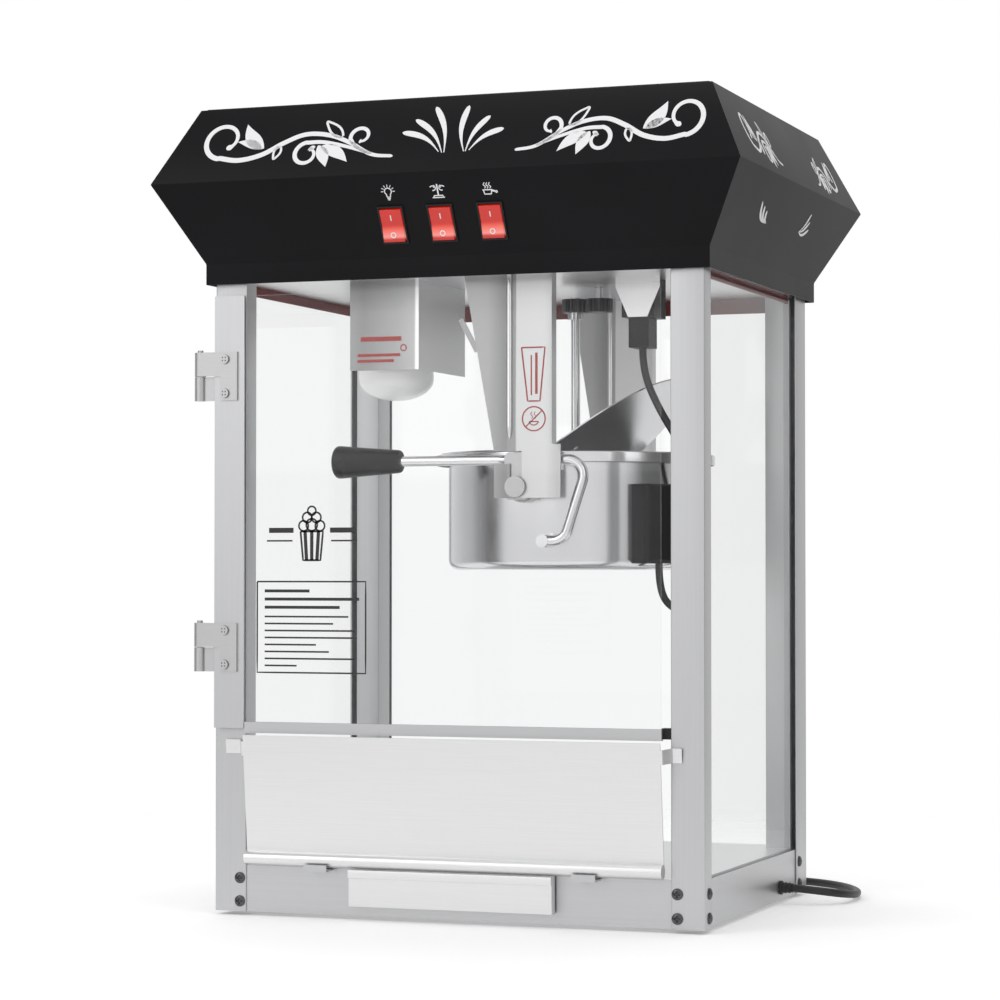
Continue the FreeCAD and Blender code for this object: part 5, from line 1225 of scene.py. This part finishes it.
class POPCORN_OT_studio(bpy.types.Operator):
    """Pale floor, soft lights, white surround and the camera"""

    bl_idname = "popcorn.studio"
    bl_label = "Studio"

    def execute(self, context):
        scene = context.scene
        side = np.linspace(-2.2, 2.2, 9)
        x, y = np.meshgrid(side, side, indexing="ij")
        floor = make_mesh("studio_floor", np.stack([x, y, 0 * x - 0.0005], axis=-1), grid_faces(9, 9))
        finish = Finish("studio_paper", Roughness=0.9)
        paper = finish.noise(2.0, 2.0)
        reach = finish.add("ShaderNodeVectorMath", {"operation": "LENGTH"}, [finish.place], output=1)
        finish.feed(Base_Color=finish.blend(paper, (0.95, 0.95, 0.95), (0.97, 0.97, 0.97)),
                    Alpha=((1.1 - reach) / 0.75).clamp(0, 1))
        finish.shader.inputs["Emission Color"].default_value = (1, 1, 1, 1)
        finish.shader.inputs["Emission Strength"].default_value = 0.22
        floor.data.materials.append(finish.material)
        scene.world = self.surround()
        softbox("key", (-1.7, -2.4, 1.9), (0, 0, 0.35), 1.5, 1.5, 14)
        softbox("fill", (2.4, -1.4, 1.4), (0, 0, 0.35), 1.4, 1.8, 5.5)
        softbox("top", (0, 0.1, 2.4), (0, 0, 0.4), 1.6, 1.6, 16)
        softbox("strip", (-1.05, -3.0, 0.63), (0, 0, 0.56), 2.6, 0.3, 3.0)
        camera = bpy.data.objects.new("camera", bpy.data.cameras.new("camera"))
        camera.data.lens, camera.data.sensor_width = 107.9, 36.0
        camera.location = (0.9028, -2.5247, 0.296)
        camera.rotation_euler = (math.radians(91.359), 0, math.radians(20.056))
        scene.collection.objects.link(camera)
        scene.camera = camera
        scene.view_settings.view_transform = "Standard"
        return {"FINISHED"}

    def surround(self):
        """White room seen directly; in reflections it is a softer grey with dark flags at two bearings."""
        world = bpy.data.worlds.new("studio")
        world.use_nodes = True
        nodes, links = world.node_tree.nodes, world.node_tree.links
        place, split = nodes.new("ShaderNodeTexCoord"), nodes.new("ShaderNodeSeparateXYZ")
        bearing, scale = nodes.new("ShaderNodeMath"), nodes.new("ShaderNodeMapRange")
        bearing.operation = "ARCTAN2"
        scale.inputs["From Min"].default_value, scale.inputs["From Max"].default_value = -math.pi, math.pi
        ramp, path = nodes.new("ShaderNodeValToRGB"), nodes.new("ShaderNodeLightPath")
        mix = nodes.new("ShaderNodeMix")
        mix.data_type = "RGBA"
        stops = [(-180, 0.55), (-160, 0.2), (-148, 0.2), (-138, 0.8), (-60, 0.85), (-30, 0.7), (-8, 0.12),
                 (10, 0.12),
                 (28, 0.65), (75, 0.7), (120, 0.9), (180, 0.55)]
        Finish.ramp(ramp, [((angle + 180) / 360, value) for angle, value in stops])
        links.new(place.outputs["Generated"], split.inputs[0])
        links.new(split.outputs["Y"], bearing.inputs[0])
        links.new(split.outputs["X"], bearing.inputs[1])
        links.new(bearing.outputs[0], scale.inputs["Value"])
        links.new(scale.outputs["Result"], ramp.inputs[0])
        links.new(path.outputs["Is Camera Ray"], mix.inputs[0])
        links.new(ramp.outputs["Color"], mix.inputs[6])
        mix.inputs[7].default_value = (1, 1, 1, 1)
        links.new(mix.outputs[2], nodes["Background"].inputs["Color"])
        return world


class POPCORN_PT_panel(bpy.types.Panel):
    """Sidebar panel with the machine's sizes, colours and pieces"""

    bl_idname = "POPCORN_PT_panel"
    bl_label = "Popcorn Maker"
    bl_space_type = "VIEW_3D"
    bl_region_type = "UI"
    bl_category = "Popcorn"

    def draw(self, context):
        for settings in (context.scene.popcorn_finishes, context.scene.popcorn_sizes):
            for key in settings.__annotations__:
                self.layout.prop(settings, key)
        for operator in OPERATORS:
            self.layout.operator(operator.bl_idname)


OPERATORS = (POPCORN_OT_studio, POPCORN_OT_mains, POPCORN_OT_kettle_lead, POPCORN_OT_finishes,
             POPCORN_OT_posts,
             POPCORN_OT_front, POPCORN_OT_screws, POPCORN_OT_kettle, POPCORN_OT_handle, POPCORN_OT_lamp,
             POPCORN_OT_switches, POPCORN_OT_scrolls, POPCORN_OT_fittings, POPCORN_OT_labels)
CLASSES = (PopcornFinishes, PopcornSizes, *OPERATORS, POPCORN_PT_panel)


def register():
    for item in CLASSES:
        bpy.utils.register_class(item)
    bpy.types.Scene.popcorn_finishes = PointerProperty(type=PopcornFinishes)
    bpy.types.Scene.popcorn_sizes = PointerProperty(type=PopcornSizes)


def unregister():
    del bpy.types.Scene.popcorn_finishes
    del bpy.types.Scene.popcorn_sizes
    for item in reversed(CLASSES):
        bpy.utils.unregister_class(item)


def main():
    register()
    for operator in OPERATORS:
        group, name = operator.bl_idname.split(".")
        getattr(getattr(bpy.ops, group), name)()


if __name__ == "__main__":
    main()
